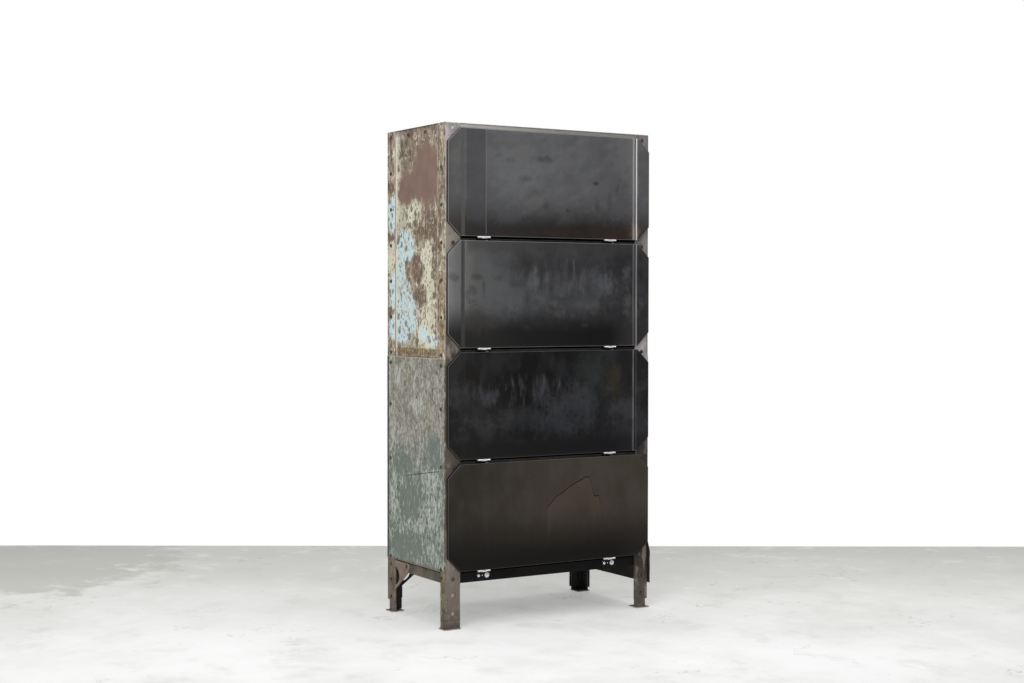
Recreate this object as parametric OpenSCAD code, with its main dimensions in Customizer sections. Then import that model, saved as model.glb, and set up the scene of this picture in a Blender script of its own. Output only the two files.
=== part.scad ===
// Riveted angle-iron cabinet with four bottom-hung drop-front doors.
// Millimetres. +Z up, the doors face -Y, the origin is on the floor under the middle of the cabinet.

/* [Overall] */
// Width over the corner posts
frame_w = 880; // [760:10:1000]
// Depth over the corner posts
frame_d = 450; // [400:10:600]
// Height from the floor to the top sheet
frame_h = 1800; // [1700:10:1900]
// Height of the lowest door's hinge axis above the floor
bottom_axis_z = 202; // [195:1:240]
// Height of the frame above the four door bays
head_margin = 6; // [4:1:12]

/* [Corner posts and feet] */
// Flange width of the corner angles
post_leg = 60; // [56:1:70]
// Thickness of the corner angles
post_t = 5; // [4:0.5:6]
// Lower ends of the posts: front left, front right, back left, back right
post_end = [4, 34, 44, 18]; // [4:1:50]
// Flange width of the foot angles inside the posts
shoe_leg = 50; // [46:1:52]
// Thickness of the foot angles
shoe_t = 5; // [4:0.5:6]
// Gap between a foot angle's upper end and the bottom rail
shoe_gap = 6; // [3:1:12]
// How much of the front left leg's side flange is cut away below the side sheet
leg_trim = 22; // [0:1:22]
// Widths of the foot plates: front left, front right, back left, back right
foot_w = [66, 56, 52, 56]; // [50:1:76]
// Depths of the foot plates, in the same order
foot_d = [46, 56, 52, 56]; // [44:1:76]
// Thickness of the foot plates
foot_t = 4; // [3:0.5:6]
// How far a foot plate stands out beyond its post
foot_over = 6; // [5.5:0.5:10]

/* [Rails] */
// Flange width of the shelf rails
rail_leg = 35; // [34:1:45]
// Thickness of the shelf rails
rail_t = 4; // [3:0.5:5]
// Flange width of the top rails
top_leg = 40; // [38:1:50]
// End clearance where one rail stops at another
cope_gap = 0.5; // [0.3:0.1:1]

/* [Sheets] */
// Thickness of the side and back sheets
sheet_t = 1.5; // [1:0.1:2]
// Thickness of the top sheet
top_t = 2; // [1.5:0.1:3]
// Thickness of the shelves
shelf_t = 2; // [1.5:0.1:3]
// How far the side sheets' seam lies above the middle rail's lower edge
seam_up = 4.5; // [2.5:0.5:15.5]
// How far the left lower side sheet's edge lies above the lowest hinge axis
left_low_up = 1; // [-2:1:10]
// Lower edge of the right lower side sheet
right_low_z = 95; // [85:1:105]
// How far the back sheets' seam lies above the middle rail's lower edge
back_seam_up = 9; // [5:0.5:11]

/* [Doors] */
// Depth of a door tray from its skin to the posts
door_depth = 12; // [11:0.5:16]
// Thickness of the door sheet
door_t = 1.5; // [1:0.1:2]
// How far a door's side edge lies inside the frame's edge
door_inset = 4; // [2:0.5:8]
// Gap between a door's top edge and the next hinge axis
door_gap = 11.5; // [10:0.5:14]
// Gap between a closed door and the posts
close_gap = 0.5; // [0.3:0.1:1]
// Size of the corner cuts
corner_cut = 50; // [48:1:70]
// Height of the lip along a door's top edge
lip_h = 15; // [13:1:18]
// Width of the pressed grooves
groove_w = 17; // [12:1:18]
// Depth of the pressed grooves
groove_d = 1; // [0.5:0.1:1.2]
// Distance from a door's corner cut to the groove
groove_in = 2; // [0:0.5:4]
// Opening angle of the doors
open_angle = 90; // [80:1:90]

/* [Hinges] */
// Middle of the left hinges from the frame's left edge
hinge_left = 151; // [146:1:220]
// Middle of the right hinges from the frame's right edge
hinge_right = 183; // [150:1:220]
// Length of a hinge
hinge_len = 50; // [48:1:70]
// Radius of the hinge barrels
barrel_r = 3.5; // [3.2:0.1:4]
// Radius of the hinge pins
pin_r = 1.5; // [1:0.1:2]
// Radial clearance of a pin in its barrels
pin_fit = 0.05; // [0.02:0.01:0.08]
// Thickness of the hinge leaves
leaf_t = 1.6; // [1.2:0.1:1.8]
// Length of the leaf that hangs on the rail
leaf_drop = 31; // [29:0.5:33]
// How far that leaf goes on to the right of its barrel
leaf_past = 8; // [5:1:14]
// Radius of the large bolt head
big_head_r = 9.5; // [7:0.5:10]
// Radius of the small bolt head
small_head_r = 5.6; // [4:0.2:6]
// Radius of the grub screw between them
dot_r = 1.6; // [1:0.1:2]

/* [Stays] */
// Radius of the curved door stays
stay_r = 150; // [120:5:200]
// Radial width of the stay bars
stay_w = 10; // [8:1:12]
// Thickness of the stay bars
stay_t = 3; // [2:0.5:4]
// How far inside the posts' flanges the stays run
stay_in = 28; // [26:1:34]
// Thickness of the stay guides
guide_t = 3; // [2:0.5:3.5]
// Clearance of a stay in its guide
guide_fit = 0.6; // [0.4:0.1:1]
// Length of the stop at a stay's tail
stop_len = 6; // [5:0.5:7]

/* [Rivets] */
// Radius of the rivet shanks
shank_r = 4; // [3:0.5:4.5]
// Radius of the outer rivet heads
head_r = 7.5; // [6:0.5:8]
// Height of the outer rivet heads
head_h = 4.5; // [3:0.5:5]
// Radius of the inner rivet heads
tail_r = 6.5; // [5:0.5:7]
// Height of the inner rivet heads
tail_h = 2.5; // [2:0.5:3]
// Radial clearance of a rivet in its hole
rivet_fit = 0.05; // [0.02:0.01:0.1]
// Distance from a post's corner to its rivets
rivet_in = 30; // [28:1:32]

/* [Knee gussets] */
// Reach of a gusset from its leg
gusset_w = 112; // [105:1:125]
// Lower end of a gusset on its leg
gusset_low_z = 90; // [86:1:94]
// Radius of the half-round cut beside the leg
gusset_cut_r = 34; // [28:1:36]

/* [Hidden] */
$fn = 48;
cut_extra = 1;

// Bays are counted from the bottom, 0 to 3.
bays = 4;
bay_pitch = (frame_h - head_margin - bottom_axis_z) / bays;
function axis_z(bay) = bottom_axis_z + bay * bay_pitch;
function rail_top_z(bay) = axis_z(bay) - barrel_r;
function rail_low_z(bay) = rail_top_z(bay) - rail_leg;
function rail_mid_z(bay) = rail_top_z(bay) - rail_leg / 2;
function shelf_top_z(bay) = rail_low_z(bay) + rail_t + shelf_t;
top_rail_z = frame_h - top_t;
top_mid_z = top_rail_z - top_leg / 2;
middle_bay = 2;

// The front of the barrels and the back of the foot plates or rivets bound the depth.
axis_y = -door_depth;
front_reach = door_depth + barrel_r;
back_reach = max(foot_over, head_h);
shift_y = (front_reach - frame_d - back_reach) / 2;

// Rings of vertical flanges inside the posts, measured in from the frame's outer faces.
ring_start = post_t + sheet_t + cope_gap;
ring_end = post_t + sheet_t + rail_t + cope_gap;
function skin_in(bay) = bay >= middle_bay ? sheet_t : 0;

// Rivet columns, each rivet as [height, sheet outside the post, stack inside the post].
bay_rivets = 3;
seam_rivet_drop = 25;
edge_rivet_up = 9;
shoe_top_z = rail_low_z(0) - shoe_gap;
leg_cut_up = 2;
shoe_rivet_z = [57, 122];
function mix(a, b, t) = a + (b - a) * t;
function upper_column() = concat(
    [for (k = [0:bay_rivets]) [mix(rail_mid_z(3), top_mid_z, k / bay_rivets), 0,
        sheet_t + ((k == 0 || k == bay_rivets) ? rail_t : 0)]],
    [for (k = [0:bay_rivets - 1]) [mix(rail_mid_z(middle_bay), rail_mid_z(3), k / bay_rivets), 0,
        sheet_t + (k == 0 ? rail_t : 0)]]);
seam_z = rail_low_z(middle_bay) + seam_up;
left_low_z = bottom_axis_z + left_low_up;
lower_first_z = seam_z - seam_rivet_drop;
lower_second = 0.43;
lower_last_z = left_low_z + edge_rivet_up;
function lower_column() = [
    [lower_first_z, sheet_t, 0],
    [mix(lower_first_z, rail_mid_z(1), lower_second), sheet_t, 0],
    [rail_mid_z(1), sheet_t, rail_t],
    [lower_last_z, sheet_t, 0]];
function low_z(side) = side > 0 ? right_low_z : left_low_z;
function covered(side, z) = z > low_z(side) ? sheet_t : 0;
function leg_column(side) = concat(
    [[rail_mid_z(0), covered(side, rail_mid_z(0)), rail_t]],
    [for (z = shoe_rivet_z) [z, covered(side, z), shoe_t]]);
function side_column(side) = concat(upper_column(), lower_column(), leg_column(side));
function shoe_column() = [for (z = shoe_rivet_z) [z, 0, shoe_t]];
function front_column() = concat(
    [[top_mid_z, 0, rail_t]],
    [for (bay = [0:bays - 1]) [rail_mid_z(bay), 0, rail_t]],
    shoe_column());
back_upper_steps = 6;
back_lower_steps = 4;
function back_column() = concat(
    [for (k = [0:back_upper_steps]) [mix(rail_mid_z(middle_bay), top_mid_z, k / back_upper_steps), 0,
        sheet_t + ((k == 0 || k == back_upper_steps) ? rail_t : 0)]],
    [for (k = [0:back_lower_steps - 1]) [mix(rail_mid_z(0), rail_mid_z(middle_bay), k / back_lower_steps),
        0, sheet_t + (k == 0 ? rail_t : 0)]],
    shoe_column());

// Rivets along the top rails between the posts.
side_row = 3;
back_row = 5;
function side_row_y(k) = mix(rivet_in, frame_d - rivet_in, k / side_row);
function back_row_x(k) = mix(rivet_in - frame_w / 2, frame_w / 2 - rivet_in, k / back_row);

// Gusset outline and its rivet into the bottom rail. It is as thick as the flange it continues.
gusset_t = post_t;
gusset_top_z = rail_top_z(0);
gusset_bend_u = 93;
gusset_bend_z = 158;
gusset_cut_drop = 3;
gusset_cut_z = (gusset_low_z + gusset_top_z) / 2 - gusset_cut_drop;
gusset_rivet_u = 94;
gusset_rivet_z = gusset_top_z - 11;

// Doors.
door_w = frame_w - 2 * door_inset;
door_h = bay_pitch - barrel_r - door_gap;
tray_depth = door_depth - close_gap;
groove_x = door_w / 2 - corner_cut - groove_in - groove_w / 2;
lip_end = 8;
miter = 2 - sqrt(2);

// Hinges: three knuckles, the outer two on the bracket.
knuckle_gap = 0.25;
knuckle_mid = 20.5;
leaf_clear = 1;
leaf_start = barrel_r + leaf_clear;
leaf_reach = tray_depth - leaf_clear / 2;
hinge_x = [hinge_left - frame_w / 2, frame_w / 2 - hinge_right];
door_rivet_x = 20;
door_rivet_y = 7.6;
door_rivet_r = 1.5;
door_rivet_head_r = 2.5;
door_rivet_head_h = 1.3;
bolt_drop = 18;
bolt_x = [-12.5, 21.5];
bolt_shank_r = 2.5;
nut_r = 5;
nut_t = 4;
head_t = 2.8;
dot_x = 2.5;
dot_t = 1;
dot_shank_r = 1;

// Magnets on the rails, behind the doors' lips.
magnet_w = 60;
magnet_drop = 1;

// Stays: arcs about the hinge axis, in a slotted guide behind each post's flange.
stay_x = frame_w / 2 - post_leg - stay_in;
stay_foot_w = 16;
stay_foot_h = 40;
stay_foot_t = 2;
stop_w = 18;
stop_clear = 0.3;
guide_lap = 16;
guide_h = 30;
guide_inner = 8;
guide_front = door_depth + post_t;
guide_back = guide_front + guide_t;
stay_inner_r = stay_r - stay_w / 2;
stay_outer_r = stay_r + stay_w / 2;
slot_low = sqrt(stay_inner_r * stay_inner_r - guide_back * guide_back) - guide_fit;
slot_high = sqrt(stay_outer_r * stay_outer_r - guide_front * guide_front) + guide_fit;
guide_mid = (slot_low + slot_high) / 2;
stop_start = open_angle + asin((guide_back + stop_clear) / (stay_r - stop_w / 2));
stop_sweep = stop_len / stay_r * 180 / PI;
foot_overlap = 1;
stay_start = asin((door_t + stay_foot_t - foot_overlap) / stay_r);
guide_rivet_r = 2.5;
guide_head_r = 5;
guide_head_h = 2;

// Colours.
paint_old = [0.62, 0.58, 0.50];
paint_green = [0.47, 0.53, 0.49];
iron_grey = [0.47, 0.44, 0.42];
iron_brown = [0.36, 0.33, 0.31];
iron_dark = [0.14, 0.13, 0.14];
rivet_brown = [0.28, 0.23, 0.20];
door_steel = [0.20, 0.20, 0.21];
door_olive = [0.18, 0.17, 0.15];
zinc_bright = [0.80, 0.80, 0.80];

// Places its children in the cabinet's frame.
module cabinet() {
    translate([0, shift_y, 0]) children();
}

// Puts a shape drawn inward from a corner of the frame into one of the four corners.
module corner(side, face) {
    translate([side * frame_w / 2, face > 0 ? frame_d : 0, 0])
        mirror([side > 0 ? 1 : 0, 0, 0])
        mirror([0, face > 0 ? 1 : 0, 0])
        children();
}

// Equal angle, its outer corner on the Z axis.
module angle_bar(leg, t, length) {
    linear_extrude(height = length)
        polygon([[0, 0], [leg, 0], [leg, t], [t, t], [t, leg], [0, leg]]);
}

// Spherical cap, its flat side at z = 0.
module dome(r, h) {
    ball_r = (r * r + h * h) / (2 * h);
    rotate_extrude()
        intersection() {
            translate([0, h - ball_r]) circle(r = ball_r);
            square([r + cut_extra, h + cut_extra]);
        }
}

// Rivet with its outer head above z = 0 and its stack below.
module rivet(grip) {
    dome(head_r, head_h);
    translate([0, 0, -grip]) cylinder(r = shank_r, h = grip);
    translate([0, 0, -grip]) mirror([0, 0, 1]) dome(tail_r, tail_h);
}

module rivet_hole() {
    translate([0, 0, -ring_end - shoe_t - cut_extra])
        cylinder(r = shank_r + rivet_fit, h = ring_end + shoe_t + sheet_t + 2 * cut_extra);
}

// Drawn inward from a corner: an outward axis through the side flange or the front flange.
module on_side_flange(z, out) {
    translate([-out, rivet_in, z]) rotate([0, -90, 0]) children();
}

module on_face_flange(z, out) {
    translate([rivet_in, -out, z]) rotate([90, 0, 0]) children();
}

module side_column_rivets(side, face) {
    corner(side, face)
        for (r = side_column(side)) on_side_flange(r[0], r[1]) rivet(r[1] + post_t + r[2]);
}

module side_column_holes(side, face) {
    corner(side, face)
        for (r = side_column(side)) on_side_flange(r[0], r[1]) rivet_hole();
}

function face_column(face) = face > 0 ? back_column() : front_column();

module face_column_rivets(side, face) {
    corner(side, face)
        for (r = face_column(face)) on_face_flange(r[0], r[1]) rivet(r[1] + post_t + r[2]);
}

module face_column_holes(side, face) {
    corner(side, face)
        for (r = face_column(face)) on_face_flange(r[0], r[1]) rivet_hole();
}

// Outward axes through the top rails between the posts, at the sheets' outer faces.
module side_row_places(side) {
    for (k = [1:side_row - 1])
        translate([side * (frame_w / 2 - post_t), side_row_y(k), top_mid_z])
            rotate([0, side * 90, 0]) children();
}

module back_row_places() {
    for (z = [top_mid_z, rail_mid_z(middle_bay)], k = [1:back_row - 1])
        translate([back_row_x(k), frame_d - post_t, z]) rotate([-90, 0, 0]) children();
}

// Outward axes through the gussets and the bottom rails.
module side_gusset_place(side) {
    out_x = frame_w / 2 + covered(side, gusset_rivet_z);
    translate([side * out_x, frame_d - post_leg - gusset_rivet_u, gusset_rivet_z])
        rotate([0, side * 90, 0]) children();
}

module back_gusset_places() {
    for (side = [-1, 1])
        translate([side * (frame_w / 2 - post_leg - gusset_rivet_u), frame_d, gusset_rivet_z])
            rotate([-90, 0, 0]) children();
}

module side_holes(side) {
    for (face = [-1, 1]) side_column_holes(side, face);
    side_row_places(side) rivet_hole();
    side_gusset_place(side) rivet_hole();
}

module back_holes() {
    for (side = [-1, 1]) face_column_holes(side, 1);
    back_row_places() rivet_hole();
    back_gusset_places() rivet_hole();
}

// Cut that narrows the front left leg's side flange, up to behind the side sheet's lower edge.
module leg_cut(side, face) {
    if (side < 0 && face < 0)
        corner(side, face)
            translate([-cut_extra, post_leg - leg_trim, -cut_extra])
                cube([post_t + shoe_t + 2 * cut_extra, leg_trim + cut_extra,
                    left_low_z + leg_cut_up + cut_extra]);
}

// Corner post: one angle from its lower end, at lowest on its foot plate, to under the top sheet.
module post(side, face, end) {
    low = max(end, foot_t);
    color(iron_grey)
        cabinet()
        difference() {
            corner(side, face)
                translate([0, 0, low]) angle_bar(post_leg, post_t, top_rail_z - low);
            leg_cut(side, face);
            side_column_holes(side, face);
            face_column_holes(side, face);
            if (face < 0) guide_places(side) guide_hole();
        }
}

// Foot angle, riveted inside a post and welded to its foot plate.
module shoe(side, face) {
    color(iron_brown)
        cabinet()
        difference() {
            corner(side, face)
                translate([post_t, post_t, foot_t]) angle_bar(shoe_leg, shoe_t, shoe_top_z - foot_t);
            leg_cut(side, face);
            side_column_holes(side, face);
            face_column_holes(side, face);
        }
}

module foot_plates() {
    color(iron_brown)
        cabinet()
        for (right = [0, 1], back = [0, 1])
            corner(2 * right - 1, 2 * back - 1)
                translate([-foot_over, -foot_over, 0])
                cube([foot_w[right + 2 * back], foot_d[right + 2 * back], foot_t]);
}

// Rail across the front or the back. The flat flange is at the top or the bottom of the upright one.
module cross_rail(y, depth_sign, low, leg, flat_on_top) {
    upright_len = frame_w - 2 * ring_start;
    flat_len = frame_w - 2 * ring_end;
    translate([-upright_len / 2, depth_sign > 0 ? y : y - rail_t, low]) cube([upright_len, rail_t, leg]);
    translate([-flat_len / 2, depth_sign > 0 ? y : y - leg, flat_on_top ? low + leg - rail_t : low])
        cube([flat_len, leg, rail_t]);
}

// Rail along a side, coped where the cross rails' flat flanges pass.
module side_rail(side, skin, low, leg, flat_on_top) {
    upright_len = frame_d - 2 * ring_end;
    cope = post_t + sheet_t + leg + cope_gap;
    flat_len = frame_d - 2 * cope;
    face_x = frame_w / 2 - post_t - skin;
    mirror([side > 0 ? 1 : 0, 0, 0]) {
        translate([-face_x, ring_end, low]) cube([rail_t, upright_len, leg]);
        translate([-face_x, cope, flat_on_top ? low + leg - rail_t : low]) cube([leg, flat_len, rail_t]);
    }
}

module top_rail_front() {
    color(iron_grey)
        cabinet()
        difference() {
            cross_rail(post_t, 1, top_rail_z - top_leg, top_leg, true);
            for (side = [-1, 1]) face_column_holes(side, -1);
        }
}

module top_rail_back() {
    color(iron_grey)
        cabinet()
        difference() {
            cross_rail(frame_d - post_t - sheet_t, -1, top_rail_z - top_leg, top_leg, true);
            back_holes();
        }
}

module top_rail_side(side) {
    color(iron_grey)
        cabinet()
        difference() {
            side_rail(side, sheet_t, top_rail_z - top_leg, top_leg, true);
            side_holes(side);
        }
}

// Front rail of one bay, carrying the shelf, the two hinge brackets and their bolts.
module front_rail(bay) {
    color(iron_dark)
        cabinet()
        difference() {
            cross_rail(post_t, 1, rail_low_z(bay), rail_leg, false);
            for (side = [-1, 1]) face_column_holes(side, -1);
            bolt_places(bay) bolt_hole();
        }
}

module side_rails(side) {
    color(iron_brown)
        cabinet()
        difference() {
            for (bay = [0:bays - 1]) side_rail(side, skin_in(bay), rail_low_z(bay), rail_leg, false);
            side_holes(side);
        }
}

module back_rails() {
    color(iron_brown)
        cabinet()
        difference() {
            for (bay = [0, middle_bay])
                cross_rail(frame_d - post_t - sheet_t, -1, rail_low_z(bay), rail_leg, false);
            back_holes();
        }
}

module top_sheet() {
    color(paint_old)
        cabinet()
        translate([-frame_w / 2, 0, top_rail_z]) cube([frame_w, frame_d, top_t]);
}

// Shelf, lying on the flat flanges of its bay's rails.
module shelf(bay) {
    shelf_w = frame_w - 2 * (ring_end + cope_gap);
    shelf_front = post_t + rail_t + cope_gap;
    shelf_back = frame_d - ring_end;
    color(iron_brown)
        cabinet()
        translate([-shelf_w / 2, shelf_front, rail_low_z(bay) + rail_t])
            cube([shelf_w, shelf_back - shelf_front, shelf_t]);
}

// Upper side sheet, between the posts' flanges and the rails.
module side_sheet_upper(side) {
    sheet_front = post_t + cope_gap;
    sheet_back = frame_d - post_t - sheet_t - cope_gap;
    low = rail_low_z(middle_bay);
    color(paint_old)
        cabinet()
        difference() {
            mirror([side > 0 ? 1 : 0, 0, 0])
                translate([post_t - frame_w / 2, sheet_front, low])
                    cube([sheet_t, sheet_back - sheet_front, top_rail_z - low]);
            side_holes(side);
        }
}

// Lower side sheet, lapped over the outside of the posts.
module side_sheet_lower(side) {
    color(paint_green)
        cabinet()
        difference() {
            mirror([side > 0 ? 1 : 0, 0, 0])
                translate([-sheet_t - frame_w / 2, 0, low_z(side)])
                    cube([sheet_t, frame_d, seam_z - low_z(side)]);
            side_holes(side);
        }
}

module back_sheet(low, high) {
    back_w = frame_w - 2 * (post_t + cope_gap);
    color(paint_green)
        cabinet()
        difference() {
            translate([-back_w / 2, frame_d - post_t - sheet_t, low]) cube([back_w, sheet_t, high - low]);
            back_holes();
        }
}

back_seam_z = rail_low_z(middle_bay) + back_seam_up;

module back_sheet_upper() {
    back_sheet(back_seam_z + cope_gap, top_rail_z);
}

module back_sheet_lower() {
    back_sheet(rail_low_z(0), back_seam_z);
}

// Knee gusset, drawn in U along the rail from the leg's flange and in Z, with its thickness below.
module gusset() {
    difference() {
        linear_extrude(height = gusset_t)
            polygon([[0, gusset_low_z], [gusset_bend_u, gusset_bend_z], [gusset_w, gusset_top_z - rail_leg / 2],
                [gusset_w, gusset_top_z], [0, gusset_top_z]]);
        translate([0, gusset_cut_z, -cut_extra]) cylinder(r = gusset_cut_r, h = gusset_t + 2 * cut_extra);
    }
}

// Two gussets at each back leg, in the planes of the leg's two flanges.
module knee_gussets() {
    color(iron_grey)
        cabinet()
        for (side = [-1, 1])
            corner(side, 1)
                difference() {
                    union() {
                        translate([post_t, post_leg, 0])
                            rotate([90, 0, -90])
                            mirror([1, 0, 0]) gusset();
                        translate([post_leg, post_t, 0]) rotate([90, 0, 0]) gusset();
                    }
                    from_corner = post_leg + gusset_rivet_u;
                    translate([0, from_corner, gusset_rivet_z]) rotate([0, -90, 0]) rivet_hole();
                    translate([from_corner, 0, gusset_rivet_z]) rotate([90, 0, 0]) rivet_hole();
                }
}

module rivets_front() {
    color(rivet_brown)
        cabinet()
        for (side = [-1, 1]) face_column_rivets(side, -1);
}

module rivets_side(side) {
    color(rivet_brown)
        cabinet() {
            for (face = [-1, 1]) side_column_rivets(side, face);
            side_row_places(side) rivet(sheet_t + rail_t);
            side_gusset_place(side) rivet(covered(side, gusset_rivet_z) + post_t + rail_t);
        }
}

module rivets_back() {
    color(rivet_brown)
        cabinet() {
            for (side = [-1, 1]) face_column_rivets(side, 1);
            back_row_places() rivet(sheet_t + rail_t);
            back_gusset_places() rivet(post_t + sheet_t + rail_t);
        }
}

// Rectangle with its four corners cut at 45 degrees, its lower edge on the X axis.
module cut_outline(w, h, c) {
    polygon([[-w / 2 + c, 0], [w / 2 - c, 0], [w / 2, c], [w / 2, h - c],
        [w / 2 - c, h], [-w / 2 + c, h], [-w / 2, h - c], [-w / 2, c]]);
}

// Folded sheet door: skin, returns on all eight edges, and a lip along the top for the magnet.
module door(bay, grooved, tint) {
    color(tint)
        cabinet()
        translate([0, 0, axis_z(bay) + barrel_r])
        difference() {
            union() {
                difference() {
                    translate([0, -close_gap, 0]) rotate([90, 0, 0])
                        linear_extrude(height = tray_depth) cut_outline(door_w, door_h, corner_cut);
                    translate([0, door_t - door_depth, door_t]) rotate([-90, 0, 0]) mirror([0, 1, 0])
                        linear_extrude(height = door_depth)
                        cut_outline(door_w - 2 * door_t, door_h - 2 * door_t, corner_cut - miter * door_t);
                }
                lip_w = door_w - 2 * (corner_cut + lip_end);
                translate([-lip_w / 2, -close_gap - door_t, door_h - lip_h]) cube([lip_w, door_t, lip_h]);
                if (grooved) groove_backs();
            }
            if (grooved) groove_cuts();
            door_rivet_holes();
        }
}

module groove_backs() {
    back_w = groove_w + 2 * door_t;
    for (side = [-1, 1])
        translate([side * groove_x - back_w / 2, -door_depth + door_t / 2, 0])
            cube([back_w, door_t / 2 + groove_d, door_h]);
}

module groove_cuts() {
    for (side = [-1, 1])
        translate([side * groove_x - groove_w / 2, -door_depth - cut_extra, -cut_extra])
            cube([groove_w, groove_d + cut_extra, door_h + 2 * cut_extra]);
}

// Holes in the bottom return, drawn from the door's lower edge.
module door_rivet_holes() {
    for (x = hinge_x)
        translate([x, axis_y, -barrel_r])
            door_rivet_places() cylinder(r = door_rivet_r + rivet_fit, h = leaf_t + door_t + cut_extra);
}

// Middle of each hinge of one bay, on its axis.
module hinge_places(bay) {
    for (x = hinge_x) translate([x, axis_y, axis_z(bay)]) children();
}

module barrel(from, to) {
    translate([from, 0, 0]) rotate([0, 90, 0]) cylinder(r = barrel_r, h = to - from);
}

module pin_bore() {
    translate([-hinge_len / 2 - cut_extra, 0, 0]) rotate([0, 90, 0])
        cylinder(r = pin_r + pin_fit, h = hinge_len + 2 * cut_extra);
}

// The two leaves under one door's bottom return, each rolled round the pin at its middle knuckle.
module hinge_leaves(bay) {
    color(zinc_bright)
        cabinet()
        hinge_places(bay)
        difference() {
            union() {
                barrel(-knuckle_mid / 2, knuckle_mid / 2);
                translate([-knuckle_mid / 2, 0, barrel_r - leaf_t]) cube([knuckle_mid, leaf_start, leaf_t]);
                translate([-hinge_len / 2, leaf_start, barrel_r - leaf_t])
                    cube([hinge_len, leaf_reach - leaf_start, leaf_t]);
            }
            pin_bore();
            door_rivet_places() cylinder(r = door_rivet_r + rivet_fit, h = 4 * leaf_t, center = true);
        }
}

module door_rivet_places() {
    for (side = [-1, 1])
        translate([side * door_rivet_x, door_rivet_y, barrel_r - leaf_t]) children();
}

// Small rivets that hold the leaves to a door, heads below.
module door_rivets(bay) {
    grip = leaf_t + door_t;
    color(zinc_bright)
        cabinet()
        hinge_places(bay)
        door_rivet_places() {
            mirror([0, 0, 1]) dome(door_rivet_head_r, door_rivet_head_h);
            cylinder(r = door_rivet_r, h = grip);
            translate([0, 0, grip]) dome(door_rivet_head_r, door_rivet_head_h);
        }
}

// Cranked brackets on the front rails, each with the two outer knuckles.
module hinge_brackets() {
    outer = knuckle_mid / 2 + knuckle_gap;
    bracket_y = door_depth + post_t;
    color(iron_dark)
        cabinet()
        for (bay = [0:bays - 1])
            hinge_places(bay)
            difference() {
                union() {
                    for (side = [-1, 1])
                        mirror([side < 0 ? 1 : 0, 0, 0]) {
                            barrel(outer, hinge_len / 2);
                            translate([outer, 0, -barrel_r])
                                cube([hinge_len / 2 - outer, leaf_start, leaf_t]);
                        }
                    translate([-hinge_len / 2, leaf_start, -barrel_r])
                        cube([hinge_len, bracket_y - leaf_start, leaf_t]);
                    translate([-hinge_len / 2, bracket_y - leaf_t, -barrel_r - leaf_drop])
                        cube([hinge_len + leaf_past, leaf_t, leaf_drop + leaf_t]);
                }
                pin_bore();
                bolt_pattern() bolt_hole();
            }
}

module hinge_pins() {
    color(zinc_bright)
        cabinet()
        for (bay = [0:bays - 1])
            hinge_places(bay)
            translate([-hinge_len / 2, 0, 0]) rotate([0, 90, 0]) cylinder(r = pin_r, h = hinge_len);
}

// Outward axes of one hinge's bolts and grub screw at the bracket's face, from the hinge's middle.
module bolt_pattern() {
    for (x = [bolt_x[0], dot_x, bolt_x[1]])
        translate([x, door_depth + post_t - leaf_t, -bolt_drop]) rotate([90, 0, 0]) children();
}

module bolt_places(bay) {
    hinge_places(bay) bolt_pattern() children();
}

module bolt_hole() {
    translate([0, 0, -leaf_t - rail_t - cut_extra])
        cylinder(r = bolt_shank_r + rivet_fit, h = leaf_t + rail_t + 2 * cut_extra);
}

module bolt(r) {
    grip = leaf_t + rail_t;
    dome(r, head_t);
    translate([0, 0, -grip]) cylinder(r = bolt_shank_r, h = grip);
    translate([0, 0, -grip - nut_t]) cylinder(r = nut_r, h = nut_t, $fn = 6);
}

module grub_screw() {
    grip = leaf_t + rail_t;
    dome(dot_r, dot_t);
    translate([0, 0, -dot_t / 2]) cylinder(r = dot_shank_r, h = dot_t / 2);
    translate([0, 0, -grip]) cylinder(r = bolt_shank_r, h = grip - dot_t / 2);
}

module hinge_bolts() {
    color(zinc_bright)
        cabinet()
        for (bay = [0:bays - 1])
            hinge_places(bay) {
                bolt_y = door_depth + post_t - leaf_t;
                translate([bolt_x[0], bolt_y, -bolt_drop]) rotate([90, 0, 0]) bolt(small_head_r);
                translate([bolt_x[1], bolt_y, -bolt_drop]) rotate([90, 0, 0]) bolt(big_head_r);
                translate([dot_x, bolt_y, -bolt_drop]) rotate([90, 0, 0]) grub_screw();
            }
}

// One flat magnet on the rail above each door, behind the door's lip.
module magnets() {
    magnet_h = lip_h - 2 * magnet_drop;
    color(iron_dark)
        cabinet()
        for (bay = [0:bays - 1])
            translate([-magnet_w / 2, 0, axis_z(bay) + barrel_r + door_h - magnet_drop - magnet_h])
                cube([magnet_w, post_t, magnet_h]);
}

// Sector of a flat ring about the hinge axis, from one angle behind the vertical to another.
module arc_bar(inner_r, outer_r, from, to) {
    rotate([90, 0, 90]) rotate([0, 0, 90 - to])
        rotate_extrude(angle = to - from, $fn = 180)
        translate([inner_r, -stay_t / 2]) square([outer_r - inner_r, stay_t]);
}

// The two curved stays welded inside one door.
module stays(bay) {
    color(iron_dark)
        cabinet()
        for (side = [-1, 1])
            translate([side * stay_x, axis_y, axis_z(bay)]) {
                arc_bar(stay_inner_r, stay_outer_r, stay_start, stop_start + stop_sweep / 2);
                arc_bar(stay_r - stop_w / 2, stay_r + stop_w / 2, stop_start, stop_start + stop_sweep);
                translate([-stay_foot_w / 2, door_t, stay_r - stay_foot_h / 2])
                    cube([stay_foot_w, stay_foot_t, stay_foot_h]);
            }
}

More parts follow.
